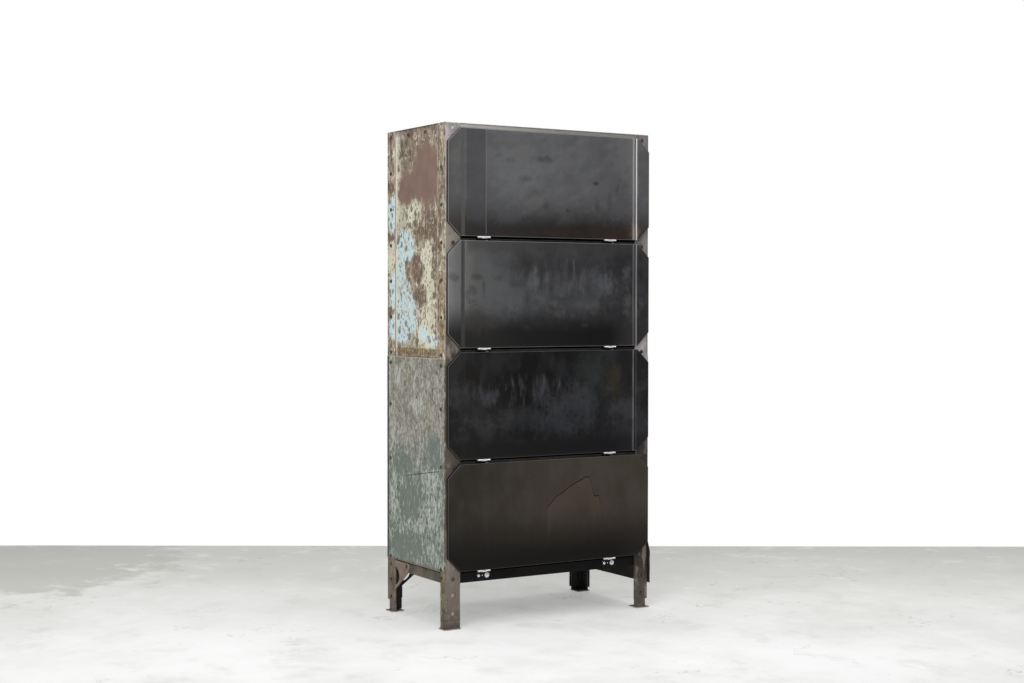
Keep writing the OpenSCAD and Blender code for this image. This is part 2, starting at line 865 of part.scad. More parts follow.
// Slotted guide plates behind the front posts' flanges.
module stay_guides() {
    outer_x = frame_w / 2 - post_leg + guide_lap;
    inner_x = stay_x - guide_inner;
    color(iron_dark)
        cabinet()
        difference() {
            for (side = [-1, 1], bay = [0:bays - 1])
                mirror([side < 0 ? 1 : 0, 0, 0])
                    translate([0, 0, axis_z(bay)])
                    difference() {
                        translate([inner_x, post_t, guide_mid - guide_h / 2])
                            cube([outer_x - inner_x, guide_t, guide_h]);
                        translate([stay_x - stay_t / 2 - guide_fit, post_t - cut_extra, slot_low])
                            cube([stay_t + 2 * guide_fit, guide_t + 2 * cut_extra, slot_high - slot_low]);
                    }
            for (side = [-1, 1]) guide_places(side) guide_hole();
        }
}

// Outward axes of the guides' rivets at the posts' front faces.
module guide_places(side) {
    for (bay = [0:bays - 1])
        translate([side * (frame_w / 2 - post_leg + guide_lap / 2), 0, axis_z(bay) + guide_mid])
            rotate([90, 0, 0]) children();
}

module guide_hole() {
    translate([0, 0, -post_t - guide_t - cut_extra])
        cylinder(r = guide_rivet_r + rivet_fit, h = post_t + guide_t + 2 * cut_extra);
}

module guide_rivets() {
    grip = post_t + guide_t;
    color(iron_dark)
        cabinet()
        for (side = [-1, 1])
            guide_places(side) {
                dome(guide_head_r, guide_head_h);
                translate([0, 0, -grip]) cylinder(r = guide_rivet_r, h = grip);
                translate([0, 0, -grip]) mirror([0, 0, 1]) dome(guide_head_r, guide_head_h);
            }
}

post(-1, -1, post_end[0]);  // post_front_left
post(1, -1, post_end[1]);  // post_front_right
post(-1, 1, post_end[2]);  // post_back_left
post(1, 1, post_end[3]);  // post_back_right
shoe(-1, -1);  // shoe_front_left
shoe(1, -1);  // shoe_front_right
shoe(-1, 1);  // shoe_back_left
shoe(1, 1);  // shoe_back_right
foot_plates();
top_rail_front();
top_rail_back();
top_rail_side(-1);  // top_rail_left
top_rail_side(1);  // top_rail_right
front_rail(3);  // front_rail_upper
front_rail(2);  // front_rail_middle
front_rail(1);  // front_rail_lower
front_rail(0);  // front_rail_bottom
side_rails(-1);  // side_rails_left
side_rails(1);  // side_rails_right
back_rails();
top_sheet();
shelf(3);  // shelf_upper
shelf(2);  // shelf_middle
shelf(1);  // shelf_lower
shelf(0);  // floor_sheet
side_sheet_upper(-1);  // side_sheet_upper_left
side_sheet_upper(1);  // side_sheet_upper_right
side_sheet_lower(-1);  // side_sheet_lower_left
side_sheet_lower(1);  // side_sheet_lower_right
back_sheet_upper();
back_sheet_lower();
knee_gussets();
rivets_front();
rivets_side(-1);  // rivets_left
rivets_side(1);  // rivets_right
rivets_back();
door(3, true, door_steel);  // door_top
door(2, true, door_steel);  // door_upper
door(1, true, door_steel);  // door_lower
door(0, false, door_olive);  // door_bottom
hinge_leaves(3);  // hinge_leaves_top
hinge_leaves(2);  // hinge_leaves_upper
hinge_leaves(1);  // hinge_leaves_lower
hinge_leaves(0);  // hinge_leaves_bottom
stays(3);  // stays_top
stays(2);  // stays_upper
stays(1);  // stays_lower
stays(0);  // stays_bottom
door_rivets(3);  // door_rivets_top
door_rivets(2);  // door_rivets_upper
door_rivets(1);  // door_rivets_lower
door_rivets(0);  // door_rivets_bottom
hinge_brackets();
hinge_pins();
hinge_bolts();
magnets();
stay_guides();
guide_rivets();
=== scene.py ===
"""Finishes and detail for a riveted angle-iron cabinet with four drop-front doors, in metres."""

import math

import bmesh
import bpy
from mathutils import Matrix, Vector, noise


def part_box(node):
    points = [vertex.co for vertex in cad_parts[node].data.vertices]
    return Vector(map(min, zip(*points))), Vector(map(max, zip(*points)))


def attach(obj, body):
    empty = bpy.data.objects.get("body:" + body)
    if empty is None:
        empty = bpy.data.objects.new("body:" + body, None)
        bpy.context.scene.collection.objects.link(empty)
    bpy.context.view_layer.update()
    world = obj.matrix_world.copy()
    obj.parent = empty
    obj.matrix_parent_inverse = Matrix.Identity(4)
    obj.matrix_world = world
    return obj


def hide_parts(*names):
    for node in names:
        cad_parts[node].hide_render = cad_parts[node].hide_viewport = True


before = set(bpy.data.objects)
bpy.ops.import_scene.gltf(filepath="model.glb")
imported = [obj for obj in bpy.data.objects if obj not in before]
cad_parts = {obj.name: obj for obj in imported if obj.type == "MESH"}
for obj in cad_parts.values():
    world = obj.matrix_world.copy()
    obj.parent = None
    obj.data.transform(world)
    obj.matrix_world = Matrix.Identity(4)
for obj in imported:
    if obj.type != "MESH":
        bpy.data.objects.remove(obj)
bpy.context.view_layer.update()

# ---------------------------------------------------------------------------------------------
# The viewpoint: just below eye level, ahead of the cabinet and to its left, through a 57 mm lens.

camera_turn = math.radians(31.29)
camera_tilt = math.radians(1.397)
camera_roll = math.radians(0.07)


def put(name, data):
    """Adds an object that carries this data to the scene."""
    made = bpy.data.objects.new(name, data)
    bpy.context.scene.collection.objects.link(made)
    return made


camera = put("camera", bpy.data.cameras.new("camera"))
camera.data.sensor_width = 36
camera.data.lens = 57.15
camera.location = (-3.218, -5.243, 1.166)
camera.rotation_euler = (
    Matrix.Rotation(-camera_turn, 3, "Z")
    @ Matrix.Rotation(math.pi / 2 - camera_tilt, 3, "X")
    @ Matrix.Rotation(camera_roll, 3, "Z")
).to_euler()
bpy.context.scene.camera = camera

# ---------------------------------------------------------------------------------------------
# Corner posts. Hot-rolled 60 mm angle iron, reused: its front flanges are worn to lilac-grey
# metal, its side flanges keep the old paint, and it is riveted to rails and sheets.

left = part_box("post_front_left")[0].x
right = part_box("post_front_right")[1].x
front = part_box("post_front_left")[0].y
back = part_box("post_back_left")[1].y
depth_middle = (front + back) / 2
post_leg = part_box("post_front_left")[1].x - left
post_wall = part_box("side_sheet_upper_left")[0].x - left


class Wire:
    """One output of a finish's node. Sums, differences, products and quotients add Math nodes."""

    def __init__(self, tree, socket):
        self.tree = tree
        self.socket = socket

    def node(self, kind, settings, sockets, output=0):
        """Adds a node: its settings first, then the value or wire of each of its sockets."""
        made = self.tree.nodes.new("ShaderNode" + kind)
        for name, value in settings.items():
            setattr(made, name, value)
        for name, value in sockets.items():
            if isinstance(value, Wire):
                self.tree.links.new(value.socket, made.inputs[name])
            else:
                made.inputs[name].default_value = value
        return Wire(self.tree, made.outputs[output])

    def maths(self, operation, first, second=0.0):
        return self.node("Math", {"operation": operation}, {0: first, 1: second})

    def __add__(self, other):
        return self.maths("ADD", self, other)

    def __radd__(self, other):
        return self.maths("ADD", other, self)

    def __sub__(self, other):
        return self.maths("SUBTRACT", self, other)

    def __rsub__(self, other):
        return self.maths("SUBTRACT", other, self)

    def __mul__(self, other):
        return self.maths("MULTIPLY", self, other)

    def __rmul__(self, other):
        return self.maths("MULTIPLY", other, self)

    def __truediv__(self, other):
        return self.maths("DIVIDE", self, other)

    def __abs__(self):
        return self.maths("ABSOLUTE", self)

    def larger(self, other):
        return self.maths("MAXIMUM", self, other)

    def smaller(self, other):
        return self.maths("MINIMUM", self, other)

    def axis(self, number):
        return self.node("SeparateXYZ", {}, {0: self}, number)

    def rise(self, low, high):
        """0 below one value, 1 above the other, and smooth between them."""
        values = {"Value": self, "From Min": low, "From Max": high}
        return self.node("MapRange", {"interpolation_type": "SMOOTHSTEP"}, values)

    def line(self, half, blur):
        """1 along the line where a distance is 0, fading out beyond half its width."""
        return (half - abs(self)).rise(0.0, blur)

    def over(self, under, top, share=None):
        """Lays a tone or a colour over another where this mask is 1, or a share of it."""
        under, top = (part if isinstance(part, Wire) else shade(*part) for part in (under, top))
        mask = self if share is None else share * self
        return self.node("Mix", {"data_type": "RGBA"}, {0: mask, 6: under, 7: top}, 2)

    def scaled(self, scale, shift):
        """This place times a scale, part by part, plus a shift."""
        return self.node("VectorMath", {"operation": "MULTIPLY_ADD"}, {0: self, 1: scale, 2: shift})

    def drawn_out(self, stretch, seed):
        """This place, stretched for a pattern, and moved so that each seed gives another one."""
        return self.scaled(stretch, (seed, 2.3 * seed, 3.7 * seed))

    def grain(self, size, detail=3.0, stretch=(1, 1, 1), seed=0.0):
        """Cloudy noise about 0.5, with lumps of a size, longer where stretch is under 1."""
        place = self.drawn_out(stretch, seed)
        values = {"Vector": place, "Scale": 1 / size, "Detail": detail, "Roughness": 0.6}
        return self.node("TexNoise", {}, values)

    def specks(self, size, radius, stretch=(1, 1, 1), seed=0.0):
        """Round spots, up to a radius, scattered over most of the cells of a size."""
        place = self.drawn_out(stretch, seed)
        values = {"Vector": place, "Scale": 1 / size}
        gap = self.node("TexVoronoi", {}, values, 0)
        chance = self.node("TexVoronoi", {}, values, 1).axis(0)
        reach = radius / size * (1.6 * chance - 0.4)
        return (reach - gap).rise(-0.03, 0.05)

    def patch(self, level, ovals):
        """1 at the middle of the nearest of some ovals, 0 on its edge and negative outside it.

        Level is the axis that they lie along, 0 for X or 1 for Y. Each oval is given by its place
        on that axis, its height, its half width and its half height.
        """
        nearest = None
        for at, height, half_width, half_height in ovals:
            scale, shift = [0.0, 0.0, 1 / half_height], [0.0, 0.0, 0.0]
            scale[level] = 1 / half_width
            shift[level], shift[2] = -at * scale[level], -height * scale[2]
            place = self.scaled(scale, shift)
            found = 1 - place.node("VectorMath", {"operation": "LENGTH"}, {0: place}, 1)
            nearest = found if nearest is None else nearest.larger(found)
        return nearest


def shade(red, green, blue):
    """A tone given as it looks, each part from 0 to 255, as the linear values of a shader."""
    parts = [part / 255 for part in (red, green, blue)]
    return [p / 12.92 if p < 0.04 else ((p + 0.055) / 1.055) ** 2.4 for p in parts] + [1.0]


def new_finish(name):
    """A new node material, and a wire that carries the object's own coordinates."""
    material = bpy.data.materials.new(name)
    material.use_nodes = True
    place = material.node_tree.nodes.new("ShaderNodeTexCoord")
    return material, Wire(material.node_tree, place.outputs["Object"])


def lay(material, colour, roughness, relief=None, depth=0.0, metallic=0.0, specular=0.5):
    """Connects a finish's colour, roughness, metal share and relief to its shader."""
    tree = material.node_tree
    shader = tree.nodes["Principled BSDF"]
    shader.inputs["Specular IOR Level"].default_value = specular
    for name, value in {"Base Color": colour, "Roughness": roughness, "Metallic": metallic}.items():
        if isinstance(value, Wire):
            tree.links.new(value.socket, shader.inputs[name])
        else:
            shader.inputs[name].default_value = value
    if relief is not None:
        bump = relief.node("Bump", {}, {"Height": relief, "Distance": depth})
        tree.links.new(bump.socket, shader.inputs["Normal"])
    return material


def across(value, stops):
    """Blends from tone to tone along a value. Each stop gives a place and its tone."""
    (start, colour), *others = stops
    for at, following in others:
        colour = value.rise(start, at).over(colour, following)
        start = at
    return colour


def old_paint(place, level, patches):
    """Flaking house paint in cream, pale blue and red-brown primer: its colour and its height.

    Patches gives the ovals of each kind, along a level axis. The kinds are primer, taupe, blue,
    cream, brown and ochre.
    """
    warp = place.grain(0.050, 4.0, (1, 1, 0.7), seed=4.1) - 0.5
    fine = place.grain(0.006, 3.0, (1, 1, 0.6), seed=7.3)
    flakes = place.grain(0.024, 5.0, (1, 1, 0.42), seed=1.7)
    crumbs = place.grain(0.011, 4.0, (1, 1, 0.50), seed=2.9)

    def zone(kind, blur, spread):
        """Where the patches of a kind lie, with torn edges."""
        if kind not in patches:
            return warp * 0.0
        found = place.patch(level, patches[kind])
        return (found + spread * warp + 0.7 * (crumbs - 0.5)).rise(-blur, blur)

    cream = zone("cream", 0.5, 1.0)
    brown = zone("brown", 0.3, 1.0)
    ground = crumbs.rise(0.32, 0.68).over((113, 95, 82), (146, 127, 111))
    rust = place.grain(0.030, 3.0, (1, 1, 0.6), seed=2.2).rise(0.52, 0.66)
    ground = rust.over(ground, (146, 110, 86), 0.55)
    beige = (0.6 * flakes + 0.4 * crumbs + 0.07 * cream - 0.10 * brown).rise(0.45, 0.56)
    colour = beige.over(ground, (172, 159, 141))
    tint = place.grain(0.09, 2.0, seed=9.4).rise(0.36, 0.54)
    pale = tint.over((218, 209, 190), (218, 219, 194))
    layer = place.grain(0.018, 5.0, (1, 1, 0.38), seed=13.0)
    amount = (0.60 * layer + 0.40 * fine + 0.17 * cream - 0.12 * brown).rise(0.52, 0.60)
    colour = amount.over(colour, pale)
    olive = (0.6 * flakes + 0.4 * fine + 0.04 * cream).rise(0.42, 0.34)
    colour = olive.over(colour, (112, 105, 80), 0.5)
    colour = (0.80 * brown * (1 - 0.6 * amount)).over(colour, (115, 95, 81))

    ochre = zone("ochre", 0.30, 1.0) * crumbs.rise(0.40, 0.60)
    colour = ochre.over(colour, (158, 132, 98), 0.55)
    taupe = zone("taupe", 0.35, 1.2) * (1 - 0.55 * amount)
    colour = taupe.over(colour, (133, 116, 105), 0.85)
    fleck = place.grain(0.0075, 3.0, (1, 1, 0.36), seed=15.0)
    colour = fleck.rise(0.56, 0.63).over(colour, (208, 200, 182), 0.55)
    colour = fleck.rise(0.43, 0.36).over(colour, (104, 90, 72), 0.45)
    primer = zone("primer", 0.22, 1.1)
    primer_tint = place.grain(0.05, 3.0, seed=6.0).rise(0.3, 0.7)
    colour = primer.over(colour, primer_tint.over((127, 103, 94), (136, 112, 102)))
    blue = zone("blue", 0.14, 1.3) * (crumbs + 0.4 * (flakes - 0.5)).rise(0.62, 0.55)
    blue_tint = (0.5 * fine + 0.5 * crumbs).rise(0.35, 0.65).over((192, 215, 220), (217, 234, 237))
    colour = (0.95 * blue).over(colour, blue_tint)

    mottle = place.grain(0.013, 4.0, (1, 1, 0.75), seed=17.0).rise(0.57, 0.64)
    mottle = mottle * (1 - primer) * (1 - 0.75 * blue)
    colour = mottle.over(colour, (112, 98, 74), 0.6)
    pits = place.specks(0.031, 0.0125, (1, 1, 0.8), seed=3.0) * crumbs.rise(0.36, 0.50)
    dots = place.specks(0.013, 0.0044, (1, 1, 0.7), seed=8.0)
    spots = pits.larger(0.8 * dots) * (1 - primer)
    colour = spots.over(colour, (92, 84, 68), 0.8)
    height = (0.35 * beige + 0.30 * amount + 0.25 * blue + 0.12 * fine) - 0.5 * spots
    return colour, height


def worn_edge(place, distance, width, seed):
    """Where an edge, given by the distance from it, is rubbed through to bright metal."""
    ragged = 0.55 + 1.3 * (place.grain(0.02, 3.0, seed=seed) - 0.5)
    return (width * ragged - distance).rise(0.0, 0.0006)


def gaps(place, inset=0.0):
    """How deep a point lies behind the cabinet's sides, and behind its front or back."""
    side_gap = right - inset - abs(place.axis(0))
    depth_gap = (back - front) / 2 - inset - abs(place.axis(1) - depth_middle)
    return side_gap, depth_gap


# How far behind the outer faces the painted shade of inner faces begins and is full.
inner_shade_depths = (0.0034, 0.0044)


def post_finish(name, tones_and_light, patches):
    """Iron of one side's posts: worn metal in front, toned by height with painted light, old
    paint outside, and painted shade, near black, inside.
    """
    material, place = new_finish(name)
    side_gap, depth_gap = gaps(place)
    on_side = side_gap.rise(0.0012, 0.0006) * depth_gap.rise(0.0006, 0.0014)
    up = place.axis(2)

    clouds = place.grain(0.05, 4.0, (1, 1, 0.5), seed=1.0)
    fine = place.grain(0.006, 4.0, seed=2.0)
    # Painted light: the front metal's tone steps with height.
    metal = across(up, tones_and_light)
    metal = clouds.rise(0.52, 0.70).over(metal, (160, 150, 144), 0.5)
    metal = clouds.rise(0.46, 0.30).over(metal, (74, 64, 56), 0.5)
    stain = place.grain(0.016, 4.0, seed=3.0).rise(0.58, 0.68)
    metal = stain.over(metal, (96, 78, 64), 0.5)

    painted, height = old_paint(place, 1, patches)
    low_side = up.rise(0.24, 0.20)
    leg_side = clouds.rise(0.35, 0.6).over((88, 78, 64), (120, 108, 94))
    in_front = place.axis(1).rise(0.0, -0.1)
    olive = place.grain(0.012, 3.0, (1, 1, 0.3), seed=12.0).rise(0.40, 0.52)
    olive = in_front * up.rise(0.04, 0.06) * olive
    leg_side = olive.over(leg_side, (98, 92, 64), 0.8)
    moss = place.grain(0.006, 4.0, (1, 1, 0.22), seed=14.0).rise(0.50, 0.60)
    moss = moss * in_front * up.rise(0.04, 0.06)
    leg_side = moss.over(leg_side, (142, 138, 102), 0.8)
    gloom = place.grain(0.010, 4.0, (1, 1, 0.25), seed=16.0).rise(0.53, 0.60)
    gloom = gloom * (0.4 + 0.6 * in_front)
    leg_side = gloom.over(leg_side, (46, 36, 26), 0.8)
    painted = low_side.over(painted, leg_side)
    colour = on_side.over(metal, painted)
    scuff = place.patch(0, [(right - 0.015, 0.215, 0.011, 0.080)]) + 1.6 * (fine - 0.5)
    scuff = scuff.rise(0.05, 0.5)
    colour = (0.6 * scuff * in_front * (1 - on_side)).over(colour, (142, 132, 122))
    grime = place.grain(0.018, 4.0, (1, 1, 0.6), seed=18.0).rise(0.42, 0.56)
    grime = up.rise(0.085, 0.035) * grime * in_front
    colour = grime.over(colour, (72, 67, 58), 0.50)
    chips = place.specks(0.014, 0.0018, seed=19.0) * up.rise(0.24, 0.20) * in_front
    colour = chips.over(colour, (190, 182, 170), 0.55)
    seam = (up - 0.034).line(0.0018, 0.0012) * in_front * place.axis(0).rise(0.0, -0.1)
    colour = seam.over(colour, (62, 52, 46), 0.6)

    corner = side_gap.larger(depth_gap)
    toe = post_leg - corner
    rubbed = worn_edge(place, corner, 0.0022, 5.0).larger(worn_edge(place, toe, 0.0020, 6.0))
    colour = (0.6 * rubbed * up.rise(0.9, 1.1)).over(colour, (196, 188, 172))
    # Painted shade: the inner faces of the posts are darkened, near black low down.
    inside = side_gap.smaller(depth_gap).rise(*inner_shade_depths)
    colour = inside.over(colour, up.rise(0.20, 0.26).over((13, 12, 11), (34, 31, 29)))
    rough = 0.62 + 0.25 * (fine - 0.5) - 0.15 * rubbed
    relief = 0.6 * fine + 0.5 * height * on_side - seam
    return lay(material, colour, rough, relief, 0.0006, specular=0.3)


def piece(name, shape, body, slot, finish, *stands_for):
    """Turns a shape into a piece that rides on a body and stands for CAD nodes.

    Finish is one material, or a tuple of them for the faces numbered 0, 1 and so on.
    """
    mesh = bpy.data.meshes.new(name)
    shape.to_mesh(mesh)
    shape.free()
    mesh.shade_smooth()
    mesh.set_sharp_from_angle(angle=math.radians(35))
    for material in finish if isinstance(finish, tuple) else (finish,):
        mesh.materials.append(material)
    made = put(name, mesh)
    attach(made, body)
    if stands_for:
        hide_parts(*stands_for)
    return made


def cut(shape, normal, at):
    """Cuts a shape along a plane, and keeps what lies on both its sides."""
    geometry = shape.verts[:] + shape.edges[:] + shape.faces[:]
    bmesh.ops.bisect_plane(shape, geom=geometry, plane_co=at, plane_no=normal)


def cut_across(shape, normal, low, high, step):
    """Cuts a shape with evenly spaced planes, so that it can bend between them."""
    count = max(1, round((high - low) / step))
    for k in range(1, count):
        cut(shape, normal, Vector(normal) * (low + (high - low) * k / count))


def move_pulled(shape, pulled, way):
    """Moves the points that an extrusion has just made, and returns them."""
    points = [part for part in pulled["geom"] if isinstance(part, bmesh.types.BMVert)]
    bmesh.ops.translate(shape, verts=points, vec=way)
    return points


def soften(shape, edges, size, segments):
    """Rounds edges over."""
    bmesh.ops.bevel(shape, geom=edges, offset=size, segments=segments, profile=0.5,
                    affect="EDGES", material=-1)


# Without a seed of its own, the iron's unevenness would differ from run to run.
noise.seed_set(7)


def angle_iron(leg, wall, spans):
    """Rolled angle, its outer corner on the Z axis: filleted root, rounded toes, slightly uneven.

    Spans lists [low, high, depth]: how far its flange along Y reaches between two heights.
    """
    shape = bmesh.new()
    for low, high, deep in spans:
        outline = [(0, 0), (leg, 0), (leg, wall), (wall, wall), (wall, deep), (0, deep)]
        foot = shape.faces.new([shape.verts.new((x, y, low)) for x, y in outline])
        pulled = bmesh.ops.extrude_face_region(shape, geom=[foot], use_keep_orig=True)
        move_pulled(shape, pulled, (0, 0, high - low))
    long_edges = [e for e in shape.edges if abs(e.verts[0].co.z - e.verts[1].co.z) > wall]
    root = [e for e in long_edges if (e.verts[0].co.xy - Vector((wall, wall))).length < wall / 9]
    rims = [e for e in long_edges if e not in root]
    soften(shape, root, 0.7 * wall, 3)
    soften(shape, rims, 0.24 * wall, 2)
    cut_across(shape, (0, 0, 1), spans[0][0], spans[-1][1], 0.03)
    bmesh.ops.recalc_face_normals(shape, faces=shape.faces)
    for vert in shape.verts:
        push = noise.noise_vector(vert.co * 14 + Vector((leg * 90, 3.1, 0)))
        vert.co.xy += 0.0004 * push.xy
    return shape


post_patches = {
    "left": {
        "brown": [(0.205, 1.59, 0.030, 0.018), (0.205, 1.41, 0.030, 0.016),
                  (0.210, 1.13, 0.030, 0.016)],
        "blue": [(0.190, 1.49, 0.040, 0.068), (0.185, 1.21, 0.034, 0.070),
                 (0.180, 1.07, 0.040, 0.050)],
        "cream": [(0.200, 1.33, 0.040, 0.050)],
        "taupe": [(0.222, 1.03, 0.016, 0.070), (-0.195, 1.56, 0.030, 0.110)],
        "ochre": [(-0.190, 1.14, 0.060, 0.190)],
    },
    "right": {
        "cream": [(0.200, 1.55, 0.040, 0.150)],
        "taupe": [(0.200, 1.20, 0.040, 0.160)],
        "brown": [(-0.200, 1.50, 0.040, 0.200)],
        "blue": [(-0.200, 1.12, 0.030, 0.090)],
    },
}
# Front flange tone by height: the worn metal's own tone with painted light mixed in, which falls
# off from the top.
post_tones_and_light = {
    "left": [(0.012, (82, 72, 65)), (0.030, (106, 95, 87)), (0.190, (112, 103, 95)),
             (0.594, (78, 69, 63)), (0.992, (78, 70, 62)), (1.390, (130, 124, 115)),
             (1.785, (168, 160, 162))],
    "right": [(0.050, (80, 72, 66)), (0.190, (46, 41, 37)), (0.594, (50, 46, 45)),
              (0.992, (166, 163, 163)), (1.390, (122, 118, 116)), (1.785, (113, 109, 111))],
}
trim_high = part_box("side_sheet_lower_left")[0].z + 0.002
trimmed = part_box("shoe_front_left")[1].y - front
corners = {}
for side, x, turn in (("left", left, 1), ("right", right, -1)):
    for face, y, flip in (("front", front, 1), ("back", back, -1)):
        corners[face, side] = (x, y, turn, flip)


def stand(shape, x, y, turn, flip):
    """Stands an angle in its corner, mirrored so that its flanges run inwards."""
    place = Matrix.Translation((x, y, 0)) @ Matrix.Diagonal((turn, flip, 1, 1))
    bmesh.ops.transform(shape, matrix=place, verts=shape.verts)
    bmesh.ops.recalc_face_normals(shape, faces=shape.faces)


post_iron = {side: post_finish("post_iron_" + side, post_tones_and_light[side], post_patches[side])
             for side in ("left", "right")}
for (face, side), corner in corners.items():
    node = f"post_{face}_{side}"
    low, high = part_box(node)
    spans = [[low.z, high.z, post_leg]]
    if node == "post_front_left":
        spans = [[low.z, trim_high, trimmed], [trim_high, high.z, post_leg]]
    post = angle_iron(post_leg, post_wall, spans)
    stand(post, *corner)
    piece(node + "_iron", post, "carcase", "post_iron", post_iron[side], node)

# ---------------------------------------------------------------------------------------------
# Feet. A 50 mm angle nests in each post's lower end, riveted to both flanges and welded to a
# square plate. Bare iron, sealed brown-grey, with grey weld beads and a little rust.

plate_low, plate_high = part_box("foot_plates")
plate_sizes = {("front", "left"): (0.066, 0.046), ("front", "right"): (0.056, 0.056),
               ("back", "left"): (0.052, 0.052), ("back", "right"): (0.056, 0.056)}
weld_beads = 12


def foot_finish():
    material, place = new_finish("foot_iron")
    clouds = place.grain(0.03, 4.0, seed=21.0)
    fine = place.grain(0.005, 3.0, seed=22.0)
    metal = clouds.rise(0.32, 0.68).over((78, 71, 65), (116, 107, 99))
    rust = place.grain(0.018, 4.0, seed=23.0).rise(0.60, 0.70)
    colour = rust.over(metal, (112, 78, 56), 0.7)
    low_rim = place.axis(2).rise(plate_high.z, plate_high.z - 0.0010)
    colour = low_rim.over(colour, (172, 166, 160), 0.85)
    # Painted shade on the shoes' inner faces, above the plate.
    side_gap, depth_gap = gaps(place, post_wall)
    inside = side_gap.smaller(depth_gap).rise(*inner_shade_depths) * place.axis(2).rise(0.0045, 0.0055)
    colour = inside.over(colour, (13, 12, 11))
    rough = 0.60 + 0.2 * (fine - 0.5)
    return lay(material, colour, rough, fine + 0.6 * clouds, 0.0006, specular=0.35)


foot_iron = foot_finish()
for (face, side), (x, y, turn, flip) in corners.items():
    node = f"shoe_{face}_{side}"
    low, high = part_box(node)
    foot = angle_iron(high.x - low.x, post_wall, [[low.z, high.z, high.y - low.y]])
    stand(foot, x + turn * post_wall, y + flip * post_wall, turn, flip)
    piece(node + "_iron", foot, "carcase", "foot_iron", foot_iron, node)

plates = bmesh.new()
welds = bmesh.new()
for (face, side), (wide, deep) in plate_sizes.items():
    x, y, turn, flip = corners[face, side]
    middle = Vector((-turn * (plate_high.x - wide / 2), 0, plate_high.z / 2))
    middle.y = (plate_low.y if face == "front" else plate_high.y) + flip * deep / 2
    size = Matrix.Translation(middle) @ Matrix.Diagonal((wide, deep, plate_high.z, 1))
    made = bmesh.ops.create_cube(plates, size=1, matrix=size)["verts"]
    soften(plates, list({edge for vert in made for edge in vert.link_edges}), 0.0009, 2)
    low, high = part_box(f"shoe_{face}_{side}")
    inset, seams = post_wall, (high.x - low.x, high.y - low.y)
    if (face, side) == ("front", "left"):
        inset, seams = 0, (post_leg, trimmed)
    outer = Vector((-turn * (right - inset), y + flip * inset, plate_high.z))
    for k in range(weld_beads):
        share = (k + 0.5) / weld_beads
        for step in ((turn * share * seams[0], 0), (0, flip * share * seams[1])):
            bead = Matrix.Translation(outer + Vector((*step, 0))) @ Matrix.Diagonal((1, 1, 0.75, 1))
            bmesh.ops.create_icosphere(welds, subdivisions=1, radius=0.0026 + 0.0006 * (k % 3),
                                       matrix=bead)
piece("foot_plate_steel", plates, "carcase", "foot_iron", foot_iron, "foot_plates")
piece("foot_welds", welds, "carcase", "foot_iron", foot_iron)

# ---------------------------------------------------------------------------------------------
# Rails. Angle iron behind the posts' flanges, riveted to them. The ones that the doors hang on
# are painted satin black, the top rails carry the posts' worn grey, the inner ones are bare.


def rail_finish(name, dark, light, rough, wear, specular=0.3):
    """Plain iron between two colours, with brighter or rusty rubbed spots in a share of wear."""
    material, place = new_finish(name)
    clouds = place.grain(0.05, 4.0, (0.4, 1, 1), seed=31.0)
    fine = place.grain(0.006, 3.0, seed=32.0)
    colour = clouds.rise(0.3, 0.7).over(dark, light)
    spots = place.grain(0.014, 4.0, seed=33.0).rise(0.66, 0.74)
    colour = (wear * spots).over(colour, (120, 96, 78))
    rough = rough + 0.2 * (fine - 0.5)
    return lay(material, colour, rough, fine + 0.5 * clouds, 0.0004, specular=specular)


def dress(finish, *nodes):
    """Gives CAD nodes their finish."""
    for node in nodes:
        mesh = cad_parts[node].data
        mesh.materials.clear()
        mesh.materials.append(finish)


def top_rail_finish():
    """The front rail over the doors: paler to the left, and darker along its foot above the top
    door.
    """
    material, place = new_finish("top_rail_iron")
    clouds = place.grain(0.045, 4.0, (0.35, 1, 1), seed=35.0)
    fine = place.grain(0.006, 3.0, seed=36.0)
    along = (place.axis(0) + 0.25 * (clouds - 0.5)).rise(-0.42, 0.10)
    colour = along.over((206, 200, 196), (156, 153, 151))
    tint = clouds.rise(0.45, 0.65).over((134, 138, 128), (150, 134, 132))
    colour = (0.35 * fine.rise(0.3, 0.7)).over(colour, tint)
    under = place.axis(2).rise(1.790, 1.781)
    colour = under.over(colour, (66, 61, 62), 0.60)
    return lay(material, colour, 0.55 + 0.2 * (fine - 0.5), fine + clouds, 0.0006, specular=0.3)


bays = ("top", "upper", "lower", "bottom")
black_rail = rail_finish("black_rail", (13, 12, 13), (22, 20, 21), 0.46, 0.10, specular=0.08)
between_rail = rail_finish("between_rail", (38, 35, 35), (66, 60, 60), 0.45, 0.30)
bare_rail = rail_finish("bare_rail", (72, 66, 58), (108, 99, 88), 0.62, 0.50)
dress(between_rail, "front_rail_upper", "front_rail_middle", "front_rail_lower")
dress(black_rail, "front_rail_bottom")
dress(bare_rail, "side_rails_left", "side_rails_right", "back_rails")
dress(bare_rail, "top_rail_left", "top_rail_right", "top_rail_back")
dress(top_rail_finish(), "top_rail_front")

# ---------------------------------------------------------------------------------------------
# Side and back sheets. 1.5 mm steel: the upper ones are set behind the posts' flanges, the lower
# ones lap over the posts. Old flaked paint above, scratched grey-green below, torn edges.


def edge_gap(low, high, value):
    """How far a value lies inside a range."""
    return min(value - low, high - value)


